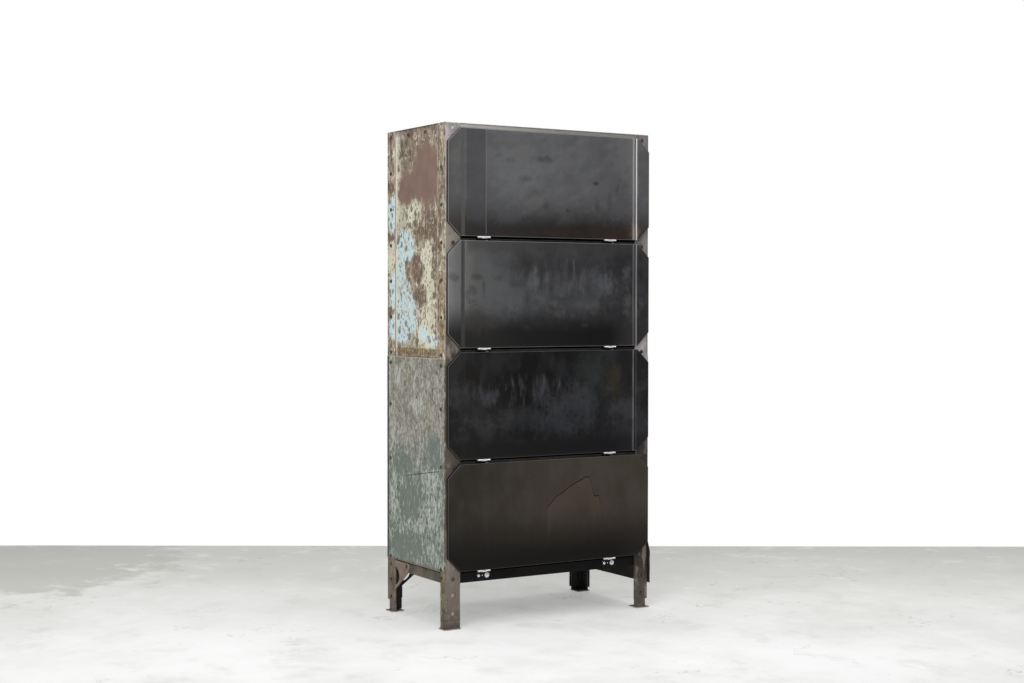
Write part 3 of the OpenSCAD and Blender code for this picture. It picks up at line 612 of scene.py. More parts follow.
def sheet(node, outward, step, ragged, dent):
    """A sheet with the size and place of a CAD node. Outward is its shown side's direction.

    Ragged is how far its edges wander, and dent gives each point's push along outward.
    """
    low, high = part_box(node)
    outward = Vector(outward)
    thin = max(range(3), key=lambda axis: abs(outward[axis]))
    across, along = [axis for axis in range(3) if axis != thin]
    size = high - low
    shape = bmesh.new()
    bmesh.ops.create_grid(shape, size=0.5, x_segments=max(2, round(size[across] / step)),
                          y_segments=max(2, round(size[along] / step)))
    face_level = (high if outward[thin] > 0 else low)[thin]
    spread = max(vert.co.x for vert in shape.verts)
    for vert in shape.verts:
        point = Vector((0, 0, 0))
        point[across] = low[across] + size[across] * (vert.co.x / spread + 1) / 2
        point[along] = low[along] + size[along] * (vert.co.y / spread + 1) / 2
        point[thin] = face_level
        if vert.is_boundary:
            wander = noise.noise_vector(point * 38) * ragged
            middle = (low + high) / 2
            for axis in (across, along):
                if edge_gap(low[axis], high[axis], point[axis]) < step / 4:
                    point[axis] -= abs(wander[axis]) * math.copysign(1, point[axis] - middle[axis])
        vert.co = point
    for vert in shape.verts:
        vert.co += outward * dent(vert.co.copy(), low, high)
    wall = bmesh.ops.extrude_face_region(shape, geom=shape.faces[:], use_keep_orig=True)
    hidden = set(move_pulled(shape, wall, -outward * size[thin]))
    for face in shape.faces:
        face.material_index = 1 if hidden.issuperset(face.verts) else 0
    bmesh.ops.recalc_face_normals(shape, faces=shape.faces)
    return shape


def field_dent(height, lump, seed):
    """Shallow dents in a sheet's free field, none where posts and rails hold it."""
    def dent(point, low, high):
        held = min(edge_gap(low[a], high[a], point[a]) for a in range(3) if high[a] - low[a] > 0.01)
        free = min(1.0, max(0.0, (held - post_leg) / 0.06))
        ripple = noise.fractal(point / lump + Vector((seed, 0, seed)), 0.7, 2.1, 3)
        return height * free * ripple
    return dent


def inside_finish():
    """The sheets' inner faces: brown-black, dusty."""
    material, place = new_finish("sheet_inside")
    clouds = place.grain(0.07, 4.0, seed=44.0)
    colour = clouds.rise(0.3, 0.7).over((32, 29, 28), (52, 48, 45))
    return lay(material, colour, 0.7, clouds, 0.0004, specular=0.2)


sheet_inside = inside_finish()
upper_patches = {
    "left": {
        "primer": [(-0.070, 1.620, 0.100, 0.125), (0.080, 1.585, 0.080, 0.060)],
        "taupe": [(0.100, 1.700, 0.085, 0.075), (0.115, 1.470, 0.035, 0.090)],
        "brown": [(-0.060, 1.450, 0.100, 0.060), (-0.002, 1.285, 0.046, 0.050),
                  (-0.030, 1.185, 0.050, 0.045), (-0.150, 1.330, 0.040, 0.160),
                  (0.020, 0.985, 0.240, 0.012)],
        "blue": [(0.095, 1.370, 0.070, 0.060), (0.135, 1.290, 0.040, 0.090),
                 (0.105, 1.120, 0.095, 0.120), (-0.045, 1.050, 0.034, 0.026),
                 (-0.115, 1.030, 0.040, 0.022)],
        "cream": [(-0.080, 1.050, 0.080, 0.060), (-0.095, 1.220, 0.090, 0.180),
                  (0.150, 1.600, 0.020, 0.190), (0.010, 1.480, 0.150, 0.060)],
        "ochre": [(-0.150, 1.120, 0.050, 0.140)],
    },
    "right": {
        "blue": [(-0.090, 1.520, 0.090, 0.190), (0.150, 1.050, 0.050, 0.060)],
        "primer": [(0.090, 1.250, 0.095, 0.120), (-0.020, 1.100, 0.080, 0.060)],
        "taupe": [(-0.100, 1.200, 0.080, 0.110)],
        "cream": [(0.080, 1.580, 0.120, 0.160)],
        "brown": [(0.020, 0.985, 0.240, 0.022)],
    },
}


def upper_sheet_finish(name, level, patches):
    material, place = new_finish(name)
    painted, height = old_paint(place, level, patches)
    fine = place.grain(0.006, 4.0, seed=41.0)
    flange_edge = abs(place.axis(1) - depth_middle) - (back - front) / 2 + post_leg + 0.004
    broken = place.grain(0.030, 4.0, (1, 1, 0.3), seed=42.0).rise(0.38, 0.50)
    chalk = flange_edge.line(0.0080, 0.002) * broken * place.axis(1).rise(-0.4, 0.1)
    colour = chalk.over(painted, (228, 223, 212), 0.95)
    up = place.axis(2)
    moss = up.rise(1.014, 0.998) * place.grain(0.012, 3.0, seed=46.0).rise(0.50, 0.60)
    colour = moss.over(colour, (178, 172, 104), 0.6)
    low_edge = up + 0.07 * (place.grain(0.022, 4.0, (1, 1, 0.6), seed=43.0) - 0.5)
    rusty = low_edge.rise(1.000, 0.976) * place.grain(0.024, 4.0, seed=45.0).rise(0.40, 0.56)
    colour = rusty.over(colour, (124, 98, 78), 0.55)
    top_edge = (up + 0.03 * (fine - 0.5)).rise(1.772, 1.790)
    colour = top_edge.over(colour, (120, 104, 96), 0.5)
    rough = 0.60 + 0.25 * (fine - 0.5)
    return lay(material, colour, rough, 0.7 * height + 0.35 * fine, 0.0011, specular=0.35)


def lower_sheet_finish(name, level, greens, pales, seed):
    """Grey-green paint, scratched upright to whitish marks, brown-grey where it is thin.

    Greens lists the ovals, along a level axis, where it is whole, and pales those where it is
    most scratched.
    """
    material, place = new_finish(name)
    warp = place.grain(0.06, 4.0, (1, 1, 0.7), seed=seed) - 0.5
    fine = place.grain(0.006, 4.0, seed=seed + 1)
    crumbs = place.grain(0.0085, 4.0, (1, 1, 0.60), seed=seed + 2)
    clouds = place.grain(0.026, 4.0, (1, 1, 0.60), seed=seed + 3)

    smooth = (place.patch(level, greens) + 1.3 * warp + 0.4 * (crumbs - 0.5)).rise(-0.15, 0.25)
    chalky = (place.patch(level, pales) + 1.0 * warp).rise(-0.25, 0.45)
    worn = 1 - smooth
    up = place.axis(2)
    thin = (up + 0.5 * warp).rise(0.52, 0.72) * worn
    green = fine.rise(0.25, 0.75).over((101, 112, 104), (113, 123, 115))
    bare = warp.rise(-0.10, 0.12).over((132, 128, 112), (146, 136, 131))
    colour = (0.90 * thin).over(green, bare)
    rubbed = (0.4 * clouds + 0.6 * crumbs).rise(0.49, 0.57) * (0.15 + 0.85 * worn)
    colour = rubbed.over(colour, (174, 176, 166), 0.70)
    dark = (0.4 * clouds + 0.6 * crumbs).rise(0.45, 0.37) * (0.15 + 0.85 * worn)
    colour = dark.over(colour, (88, 88, 77), 0.70)

    scratch = place.grain(0.006, 4.0, (1, 1, 0.26), seed=seed + 4)
    broad = place.grain(0.022, 4.0, (1, 1, 0.36), seed=seed + 5)
    edge_gap_back = back - place.axis(1)
    more = 0.07 * chalky + 0.03 * edge_gap_back.rise(0.075, 0.03) + 0.02 * worn
    mark = (0.6 * scratch + 0.4 * broad + more).rise(0.560, 0.630)
    colour = mark.over(colour, (198, 203, 196), 0.66)
    pits = place.specks(0.018, 0.0044, (1, 1, 0.7), seed=seed + 7) * worn
    colour = pits.over(colour, (78, 70, 58), 0.75)
    if name.endswith("left"):
        across_it = place.axis(1).rise(0.095, 0.070) * place.axis(1).rise(-0.190, -0.170)
        # Painted shade: a dark line along the crease.
        crease_shade = (up - crease_height(place.axis(1))).line(0.0022, 0.0012) * across_it
        colour = crease_shade.over(colour, (56, 60, 56), 0.85)

    torn = 0.014 * (place.grain(0.016, 4.0, seed=seed + 8) - 0.42)
    front_gap = place.axis(1) - front
    pale = (torn + 0.010 - front_gap).rise(0.0, 0.003)
    colour = pale.over(colour, (172, 170, 152), 0.45)
    rusty = place.grain(0.03, 3.0, seed=seed + 9).rise(0.38, 0.50)
    rust_spots = (torn + 0.007 - front_gap).rise(0.0, 0.002) * rusty
    colour = rust_spots.over(colour, (70, 50, 36), 0.85)
    if name.startswith("side"):
        # Painted shade: a dark band along the back edge, where the post's dark back flange and its
        # shadow are painted onto the sheet.
        back_edge_shade = (0.015 + 0.5 * torn - (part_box(name)[1].y - place.axis(1))).rise(0.0, 0.002)
        colour = back_edge_shade.over(colour, (62, 59, 56), 0.90)
    rim = (1.6 * torn + 0.012 + low_edge_z(name) - up).rise(0.0, 0.010)
    colour = rim.over(colour, (106, 90, 76), 0.75)
    head = (up - seam_high + 0.003 + 0.3 * torn).rise(0.0, 0.0015)
    colour = head.over(colour, (186, 184, 176), 0.6)
    height = 0.4 * mark + 0.3 * fine - 0.5 * pits + 0.4 * rubbed
    rough = 0.58 + 0.2 * (fine - 0.5) + 0.08 * mark
    return lay(material, colour, rough, height, 0.0008, specular=0.35)


seam_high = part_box("side_sheet_lower_left")[1].z


def low_edge_z(name):
    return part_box(name)[0].z


def crease_height(depth):
    """Height of the left lower sheet's crease at a depth, which is a number or a wire."""
    return 0.5365 - 0.144 * depth


def crease(point, low, high):
    """The left lower sheet's dents: a sharp knock across it and a slack belly below."""
    ridge = math.exp(-((point.z - crease_height(point.y)) / 0.006) ** 2)
    ridge *= math.exp(-((point.y + 0.050) / 0.11) ** 2)
    return field_dent(0.0022, 0.16, 4.0)(point, low, high) - 0.0016 * ridge


def bend(point, low):
    """How far a point takes part in the right lower sheet's bent corner, from 0 to 1."""
    drop = min(1.0, max(0.0, (0.262 - point.z) / 0.045))
    ahead = min(1.0, max(0.0, 1 - (point.y - low.y) / 0.10))
    return drop * ahead


def bent_corner(point, low, high):
    """The right lower sheet's front corner, which hangs below the rail and is bent outwards."""
    return field_dent(0.0020, 0.15, 9.0)(point, low, high) + 0.0041 * bend(point, low)


for side, outward in (("left", (-1, 0, 0)), ("right", (1, 0, 0))):
    node = "side_sheet_upper_" + side
    shape = sheet(node, outward, 0.012, 0.0004, field_dent(0.0016, 0.13, 2.0))
    finish = upper_sheet_finish(node, 1, upper_patches[side])
    piece(node + "_steel", shape, "carcase", "old_paint", (finish, sheet_inside), node)

lower_greens = {
    "left": [(-0.145, 0.630, 0.055, 0.065), (0.040, 0.440, 0.080, 0.085),
             (0.100, 0.570, 0.080, 0.040), (0.080, 0.260, 0.120, 0.050)],
    "right": [(0.060, 0.640, 0.100, 0.120), (-0.080, 0.300, 0.110, 0.100)],
}
lower_pales = {
    "left": [(0.180, 0.700, 0.022, 0.090), (0.170, 0.450, 0.045, 0.090),
             (0.010, 0.345, 0.085, 0.030), (-0.105, 0.530, 0.090, 0.035),
             (-0.125, 0.265, 0.050, 0.035), (-0.020, 0.790, 0.060, 0.035),
             (-0.130, 0.420, 0.060, 0.100), (0.130, 0.900, 0.050, 0.040)],
    "right": [(-0.170, 0.700, 0.030, 0.120), (0.060, 0.400, 0.090, 0.060),
              (0.140, 0.860, 0.060, 0.060)],
}
for side, outward, dent in (("left", (-1, 0, 0), crease), ("right", (1, 0, 0), bent_corner)):
    node = "side_sheet_lower_" + side
    shape = sheet(node, outward, 0.008, 0.0014, dent)
    if side == "right":
        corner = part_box(node)[0]
        for vert in shape.verts:
            vert.co.y -= 0.011 * bend(vert.co, corner)
    seed = 50.0 if side == "left" else 70.0
    finish = lower_sheet_finish(node, 1, lower_greens[side], lower_pales[side], seed)
    piece(node + "_steel", shape, "carcase", "green_paint", (finish, sheet_inside), node)

back_patches = {
    "cream": [(-0.150, 1.500, 0.200, 0.200), (0.330, 1.200, 0.060, 0.160)],
    "primer": [(0.190, 1.610, 0.110, 0.060), (0.080, 1.510, 0.080, 0.085),
               (0.020, 1.600, 0.050, 0.030), (-0.090, 1.205, 0.060, 0.026),
               (-0.020, 1.165, 0.050, 0.040)],
    "taupe": [(0.020, 1.300, 0.260, 0.120)],
    "blue": [(-0.190, 1.260, 0.075, 0.050), (-0.270, 1.170, 0.060, 0.110),
             (-0.190, 1.110, 0.045, 0.055), (-0.330, 1.340, 0.022, 0.050),
             (0.280, 1.380, 0.045, 0.055), (0.235, 1.290, 0.050, 0.050),
             (0.310, 1.215, 0.026, 0.060), (0.060, 1.400, 0.028, 0.022)],
    "brown": [(0.100, 1.080, 0.300, 0.060)],
}
back_greens = [(-0.120, 0.620, 0.200, 0.160), (0.210, 0.380, 0.180, 0.120)]
back_pales = [(0.150, 0.760, 0.160, 0.080), (-0.220, 0.340, 0.130, 0.090)]
back_upper = upper_sheet_finish("back_sheet_upper", 0, back_patches)
back_lower = lower_sheet_finish("back_sheet_lower", 0, back_greens, back_pales, 110.0)
for node, slot, seed, finish in (("back_sheet_upper", "old_paint", 5.0, back_upper),
                                 ("back_sheet_lower", "green_paint", 6.0, back_lower)):
    shape = sheet(node, (0, 1, 0), 0.016, 0.0006, field_dent(0.0025, 0.22, seed))
    piece(node + "_steel", shape, "carcase", slot, (finish, sheet_inside), node)

# ---------------------------------------------------------------------------------------------
# Top sheet and shelves. The top is 2 mm steel riveted on the posts' ends, worn to pale grey. The
# shelves are 2 mm sheets laid on the rails, waxed grey, and sag a little.


def top_finish():
    material, place = new_finish("top_steel")
    clouds = place.grain(0.09, 5.0, seed=81.0)
    fine = place.grain(0.007, 4.0, seed=82.0)
    colour = clouds.rise(0.35, 0.65).over((138, 130, 122), (172, 166, 158))
    stain = place.grain(0.05, 4.0, seed=83.0).rise(0.56, 0.68)
    colour = stain.over(colour, (118, 98, 82), 0.5)
    scratch = place.grain(0.012, 3.0, (0.12, 1, 1), seed=84.0).rise(0.64, 0.70)
    colour = scratch.over(colour, (198, 194, 186), 0.5)
    pits = place.specks(0.04, 0.005, seed=85.0)
    colour = pits.over(colour, (96, 80, 68), 0.6)
    rim = place.axis(1).rise(front + 0.0026, front + 0.0014)
    colour = rim.over(colour, (222, 217, 213), 0.9)
    side_rim = place.axis(0).rise(left + 0.0026, left + 0.0014)
    colour = side_rim.over(colour, (150, 138, 132), 0.9)
    rough = 0.55 + 0.25 * (fine - 0.5)
    return lay(material, colour, rough, fine + clouds - pits, 0.0007, specular=0.4)


def top_dent(point, low, high):
    """Hollows only, so that the sheet stays below its edges."""
    return -abs(field_dent(0.0018, 0.24, 7.0)(point, low, high))


shape = sheet("top_sheet", (0, 0, 1), 0.016, 0.0006, top_dent)
piece("top_sheet_steel", shape, "carcase", "post_iron", (top_finish(), sheet_inside), "top_sheet")


def sag(point, low, high):
    """A shelf hangs a little in its middle, and hardly at its edges."""
    along = math.cos(math.pi * point.x / (high.x - low.x)) ** 2
    return -0.0012 * along * math.cos(math.pi * (point.y - depth_middle) / (high.y - low.y))


shelf_steel = rail_finish("shelf_steel", (84, 84, 86), (112, 111, 111), 0.40, 0.15)
for node in ("floor_sheet", "shelf_lower", "shelf_middle", "shelf_upper"):
    shape = sheet(node, (0, 0, 1), 0.030, 0.0, sag)
    piece(node + "_steel", shape, "carcase", "shelf_steel", (shelf_steel, sheet_inside), node)

# ---------------------------------------------------------------------------------------------
# Doors. 1.5 mm steel trays with cut corners, folded on a press and waxed. The upper three carry
# two pressed grooves, and the lowest is plain and has browned to olive.

# Each door's colour holds painted reflection: lighter high up and darker below, and brighter on the
# upper doors than on the lower ones.
door_wall = 0.0015
door_cut = 0.050
fold = 0.0022
groove_at = 0.3755
groove_half = 0.0085
groove_flank = 0.0012
groove_deep = 0.001
lip_drop = 0.015
lip_half = 0.378
swell = 0.0005


def face_front(shape, depth):
    """Turns all faces the same way out, so that those ahead of a depth look to the front."""
    bmesh.ops.recalc_face_normals(shape, faces=shape.faces)
    ahead = [face for face in shape.faces if face.calc_center_median().y < depth]
    if sum(face.normal.y * face.calc_area() for face in ahead) > 0:
        bmesh.ops.reverse_faces(shape, faces=shape.faces)


def door_shape(node, grooved, seed):
    """The tray's outer skin: its face, rounded rims, returns and the lip behind its top edge."""
    low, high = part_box(node)
    shape = bmesh.new()
    ring = [(low.x + door_cut, low.z), (high.x - door_cut, low.z), (high.x, low.z + door_cut),
            (high.x, high.z - door_cut), (high.x - door_cut, high.z), (low.x + door_cut, high.z),
            (low.x, high.z - door_cut), (low.x, low.z + door_cut)]
    face = shape.faces.new([shape.verts.new((x, low.y, z)) for x, z in ring])
    rims = face.edges[:]
    returns = bmesh.ops.extrude_edge_only(shape, edges=rims)
    move_pulled(shape, returns, (0, high.y - low.y, 0))
    soften(shape, rims, fold, 3)
    face_front(shape, high.y)
    cut_across(shape, (1, 0, 0), low.x, high.x, 0.012)
    cut_across(shape, (0, 0, 1), low.z, high.z, 0.012)
    bed_half = groove_half - groove_flank
    for side in (-1, 1):
        for reach in (-groove_half, -bed_half, bed_half, groove_half):
            cut(shape, (1, 0, 0), (side * groove_at + side * reach, 0, 0))
    for x in (-lip_half, lip_half):
        cut(shape, (1, 0, 0), (x, 0, 0))
    bmesh.ops.remove_doubles(shape, verts=shape.verts, dist=0.00005)

    for vert in shape.verts:
        ahead = 1 - (vert.co.y - low.y) / fold
        if ahead <= 0:
            continue
        in_groove = groove_half - groove_flank / 2 - abs(abs(vert.co.x) - groove_at)
        if grooved and in_groove > 0:
            vert.co.y += groove_deep * ahead
        inside = min(edge_gap(low.x, high.x, vert.co.x), edge_gap(low.z, high.z, vert.co.z))
        free = min(1.0, max(0.0, (inside - 0.006) / 0.05))
        wave = noise.fractal(vert.co * 6 + Vector((seed, seed, 0)), 0.7, 2.0, 2)
        vert.co.y += ahead * free * swell * (1 + max(-1.0, min(1.0, wave)))

    def on_lip(vert):
        return abs(vert.co.z - high.z) < 0.0001 and abs(vert.co.x) < lip_half + 0.0002

    lip = [edge for edge in shape.edges if edge.is_boundary and all(map(on_lip, edge.verts))]
    move_pulled(shape, bmesh.ops.extrude_edge_only(shape, edges=lip), (0, 0, -lip_drop))
    face_front(shape, low.y + 0.001)
    return shape


class WaxedDoor:
    """A door's finish while it is built up, from the mill steel and its painted reflection to the
    painted light and shade of its rims.
    """

    def __init__(self, name, node, upper, lower, sheen_fade, mottle, seed):
        """Upper and lower list the steel's tone with painted reflection, at distances from the left
        edge, which blend across the door.

        The sheen fade says how far below its top edge the lower ones begin and where they are
        reached, as painted reflection that darkens downwards, and mottle how strong its light and
        its dark clouds are.
        """
        self.material, self.place = new_finish(name)
        self.low, self.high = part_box(node)
        self.clouds = self.place.grain(0.09, 4.0, (1, 1, 0.75), seed=seed)
        self.fine = self.place.grain(0.010, 3.0, seed=seed + 2)
        shift = 0.05 * (self.clouds - 0.5)
        self.drop = self.high.z - self.place.axis(2) + 1.2 * shift
        along = self.place.axis(0) + shift
        # Painted reflection: the tone blends from lighter high up to darker below, and differs from
        # door to door.
        top_tones_and_sheen, foot_tones_and_sheen = (across(along, [(self.low.x + at, tone) for at, tone in row])
                      for row in (upper, lower))
        start, end = sheen_fade
        self.colour = self.drop.rise(start, end).over(top_tones_and_sheen, foot_tones_and_sheen)
        streaks = self.place.grain(0.045, 4.0, (1.6, 1, 0.45), seed=seed + 1)
        cover = 0.75 * self.clouds + 0.25 * streaks
        light, dark = mottle
        high_up = 1 - self.drop.rise(start + 0.05, end)
        self.tint(light * cover.rise(0.42, 0.62) * high_up, (122, 125, 130))
        self.tint(cover.rise(0.47, 0.33), (24, 23, 25), dark)

    def tint(self, mask, tone, share=None):
        """Lays a tone on where a mask is 1, or a share of it."""
        self.colour = mask.over(self.colour, tone, share)

    def smear(self, seed, marks):
        """Soft clouds and smudges in the wax, their edges drawn out downwards.

        Marks lists (across, down, half width, half height, tone, share), from the door's top left
        corner.
        """
        torn = self.place.grain(0.022, 4.0, (1, 1, 0.35), seed=seed)
        torn = torn + self.place.grain(0.009, 3.0, (0.7, 1, 0.7), seed=seed) - 1
        for aside, down, wide, high, tone, share in marks:
            oval = (self.low.x + aside, self.high.z - down, 1.25 * wide, 1.25 * high)
            found = self.place.patch(0, [oval]) + 1.1 * torn
            self.tint(found.rise(-0.15, 0.85), tone, share)

    def wipe(self, where, size, stretch, light, dark, share, seed, place=None):
        """Streaks left by the cloth, lighter and darker than the wax, in a share of where."""
        cloud = (place or self.place).grain(size, 5.0, stretch, seed)
        self.tint(share * where * cloud.rise(0.51, 0.66), light)
        self.tint(share * where * cloud.rise(0.49, 0.34), dark)

    def paint_groove_light_and_shade(self, bed_painted_tone, bed_painted_share, highlight_share, dim_highlight_share):
        """Painted light and shade of the grooves: a painted tone in the left groove's bed, and on
        the right one a painted highlight on one flank, a dimmer one on the other and painted shade
        between.
        """
        x = self.place.axis(0)
        # Painted light and shade in the left groove's bed.
        bed_light_and_shade = (groove_half - 0.0005 - abs(x + groove_at)).rise(0.0, 0.0015)
        self.tint(bed_light_and_shade, bed_painted_tone, bed_painted_share)
        fade = self.place.grain(0.10, 2.0, (1, 1, 0.6), seed=9.0).rise(0.30, 0.60)
        # Painted highlights on the right groove's flanks, with painted shade between them.
        dim_highlight = (x - groove_at + 0.0115).line(0.0065, 0.0050)
        self.tint(dim_highlight_share * dim_highlight * (0.5 + 0.5 * fade), (150, 147, 146))
        self.tint((x - groove_at + 0.0045).line(0.0022, 0.0015), (40, 38, 38), 0.5)
        bright = (x - groove_at - 0.0020).line(0.0038, 0.0020)
        self.tint(highlight_share * bright * (0.6 + 0.4 * fade), (205, 204, 204))

    def paint_rim_light_and_return_shade(self, share):
        """Painted highlight on the rims, a little brighter than the face, and painted shade on the
        returns, near black.
        """
        side = (self.high.x - self.low.x) / 2 - abs(self.place.axis(0))
        middle = (self.low.z + self.high.z) / 2
        up = (self.high.z - self.low.z) / 2 - abs(self.place.axis(2) - middle)
        corner = (side + up - door_cut) * 0.7071
        gap = side.smaller(up).smaller(corner)
        # Painted highlight on the rims.
        self.tint((0.0026 - gap).rise(0.0, 0.0012), (150, 150, 150), share)
        # Painted shade on the returns, near black.
        self.tint((self.place.axis(1) - self.low.y).rise(0.0021, 0.0030), (24, 22, 23))

    def done(self, rough):
        rough = rough + 0.10 * (self.clouds - 0.5)
        return lay(self.material, self.colour, rough, self.fine, 0.00008, specular=0.12)


def top_door_finish():
    """Blue-grey, wiped aslant, with the painted shade and highlight of an old fold near its left
    groove, and rust at its foot.
    """
    door = WaxedDoor("waxed_steel_top", "door_top", [
        (0.000, (76, 76, 76)), (0.080, (82, 82, 85)), (0.330, (88, 89, 91)), (0.560, (82, 82, 85)),
        (0.760, (82, 82, 85)), (0.805, (94, 93, 94)), (0.820, (81, 80, 82)),
    ], [
        (0.000, (56, 52, 50)), (0.120, (42, 40, 40)), (0.500, (34, 31, 30)), (0.740, (38, 33, 31)),
        (0.850, (54, 50, 49)),
    ], (0.205, 0.355), (0.10, 0.08), 11.0)
    door.smear(26.0, [
        (0.402, 0.098, 0.034, 0.013, (54, 53, 56), 0.70),
        (0.321, 0.170, 0.026, 0.011, (58, 58, 60), 0.60),
        (0.265, 0.108, 0.030, 0.010, (70, 70, 73), 0.45),
        (0.627, 0.176, 0.012, 0.007, (42, 42, 45), 0.80),
        (0.727, 0.195, 0.011, 0.030, (48, 49, 54), 0.75),
        (0.690, 0.245, 0.010, 0.036, (52, 52, 57), 0.70),
        (0.634, 0.262, 0.012, 0.034, (54, 54, 58), 0.65),
        (0.408, 0.262, 0.016, 0.022, (56, 56, 60), 0.65),
        (0.502, 0.280, 0.010, 0.008, (46, 46, 49), 0.70),
        (0.560, 0.235, 0.012, 0.014, (66, 67, 70), 0.60),
        (0.350, 0.226, 0.060, 0.024, (68, 68, 73), 0.60),
        (0.580, 0.120, 0.050, 0.030, (78, 80, 84), 0.50),
        (0.240, 0.300, 0.060, 0.040, (74, 74, 79), 0.50),
        (0.805, 0.352, 0.022, 0.026, (126, 104, 88), 0.60),
        (0.760, 0.230, 0.090, 0.090, (72, 72, 76), 0.60),
        (0.735, 0.160, 0.022, 0.014, (62, 62, 66), 0.50),
        (0.120, 0.200, 0.050, 0.080, (80, 81, 85), 0.50),
        (0.250, 0.040, 0.150, 0.030, (76, 75, 77), 0.50),
    ])
    turn = {"rotation_type": "Y_AXIS"}
    aslant = door.place.node("VectorRotate", turn, {"Vector": door.place, "Angle": 0.45})
    field = door.drop.rise(0.36, 0.24)
    door.wipe(field, 0.036, (0.60, 1, 1.2), (96, 97, 98), (68, 68, 70), 0.28, 51.0, aslant)
    door.wipe(field, 0.110, (0.70, 1, 1.1), (94, 93, 90), (74, 74, 77), 0.50, 53.0, aslant)
    # Painted shade on the strip left of an old fold, and a painted highlight along the fold.
    fold_at = door.place.axis(0) - door.low.x - 0.155
    fold_shade_strip = fold_at.rise(0.0010, -0.0010) * fold_at.rise(-0.082, -0.078)
    door.tint(fold_shade_strip * door.drop.rise(0.36, 0.30), (63, 63, 65), 0.60)
    door.tint(fold_at.line(0.0022, 0.0012), (126, 122, 118), 0.35)
    rust = door.place.grain(0.05, 4.0, (0.5, 1, 1), seed=17.0).rise(0.44, 0.62)
    door.tint(rust * door.drop.rise(0.320, 0.375), (60, 42, 34), 0.35)
    door.paint_groove_light_and_shade((80, 78, 71), 0.7, 0.95, 0.85)
    door.paint_rim_light_and_return_shade(0.35)
    return door.done(0.42)


def upper_door_finish():
    """Paler at its left edge and darker to the right in its painted reflection, with drips and
    wiped clouds in its middle.
    """
    door = WaxedDoor("waxed_steel_upper", "door_upper", [
        (0.000, (112, 113, 112)), (0.040, (96, 97, 96)), (0.076, (92, 92, 90)),
        (0.120, (78, 79, 78)), (0.170, (76, 77, 78)), (0.320, (56, 57, 58)),
        (0.500, (50, 49, 51)), (0.860, (32, 31, 34)),
    ], [
        (0.000, (36, 36, 36)), (0.120, (34, 34, 33)), (0.400, (24, 23, 24)), (0.680, (18, 17, 18)),
        (0.800, (44, 42, 42)),
    ], (0.205, 0.335), (0.08, 0.12), 13.0)
    band = door.drop.rise(0.055, 0.020) * door.place.axis(0).rise(-0.366, -0.350)
    door.tint(band, (56, 55, 55), 0.55)
    door.smear(33.0, [
        (0.450, 0.085, 0.190, 0.050, (44, 41, 43), 0.60),
        (0.320, 0.110, 0.022, 0.045, (42, 41, 43), 0.60),
        (0.520, 0.190, 0.300, 0.070, (62, 63, 65), 0.55),
        (0.250, 0.180, 0.110, 0.080, (82, 84, 84), 0.45),
        (0.672, 0.155, 0.048, 0.045, (78, 80, 85), 0.65),
        (0.362, 0.112, 0.012, 0.036, (82, 84, 87), 0.60),
        (0.354, 0.146, 0.042, 0.026, (82, 83, 86), 0.60),
        (0.455, 0.160, 0.014, 0.050, (70, 71, 72), 0.60),
        (0.495, 0.115, 0.008, 0.040, (66, 66, 67), 0.50),
        (0.575, 0.130, 0.010, 0.050, (70, 70, 72), 0.60),
        (0.118, 0.130, 0.026, 0.011, (60, 59, 56), 0.70),
        (0.146, 0.175, 0.009, 0.042, (58, 58, 56), 0.70),
        (0.328, 0.212, 0.010, 0.026, (50, 51, 52), 0.55),
        (0.480, 0.205, 0.050, 0.010, (50, 50, 51), 0.50),
        (0.560, 0.225, 0.040, 0.018, (74, 76, 78), 0.45),
        (0.120, 0.290, 0.060, 0.050, (52, 49, 46), 0.60),
    ])
    drips = door.place.patch(0, [(0.080, door.high.z - 0.130, 0.330, 0.085)]).rise(0.0, 0.5)
    door.wipe(drips, 0.022, (1, 1, 0.22), (84, 85, 87), (42, 41, 43), 0.48, 55.0)
    field = door.drop.rise(0.34, 0.24) * door.drop.rise(0.02, 0.10)
    door.wipe(field, 0.060, (0.8, 1, 0.9), (84, 85, 85), (46, 45, 46), 0.40, 57.0)
    door.paint_groove_light_and_shade((58, 57, 55), 0.85, 0.34, 0.26)
    door.paint_rim_light_and_return_shade(0.35)
    return door.done(0.40)


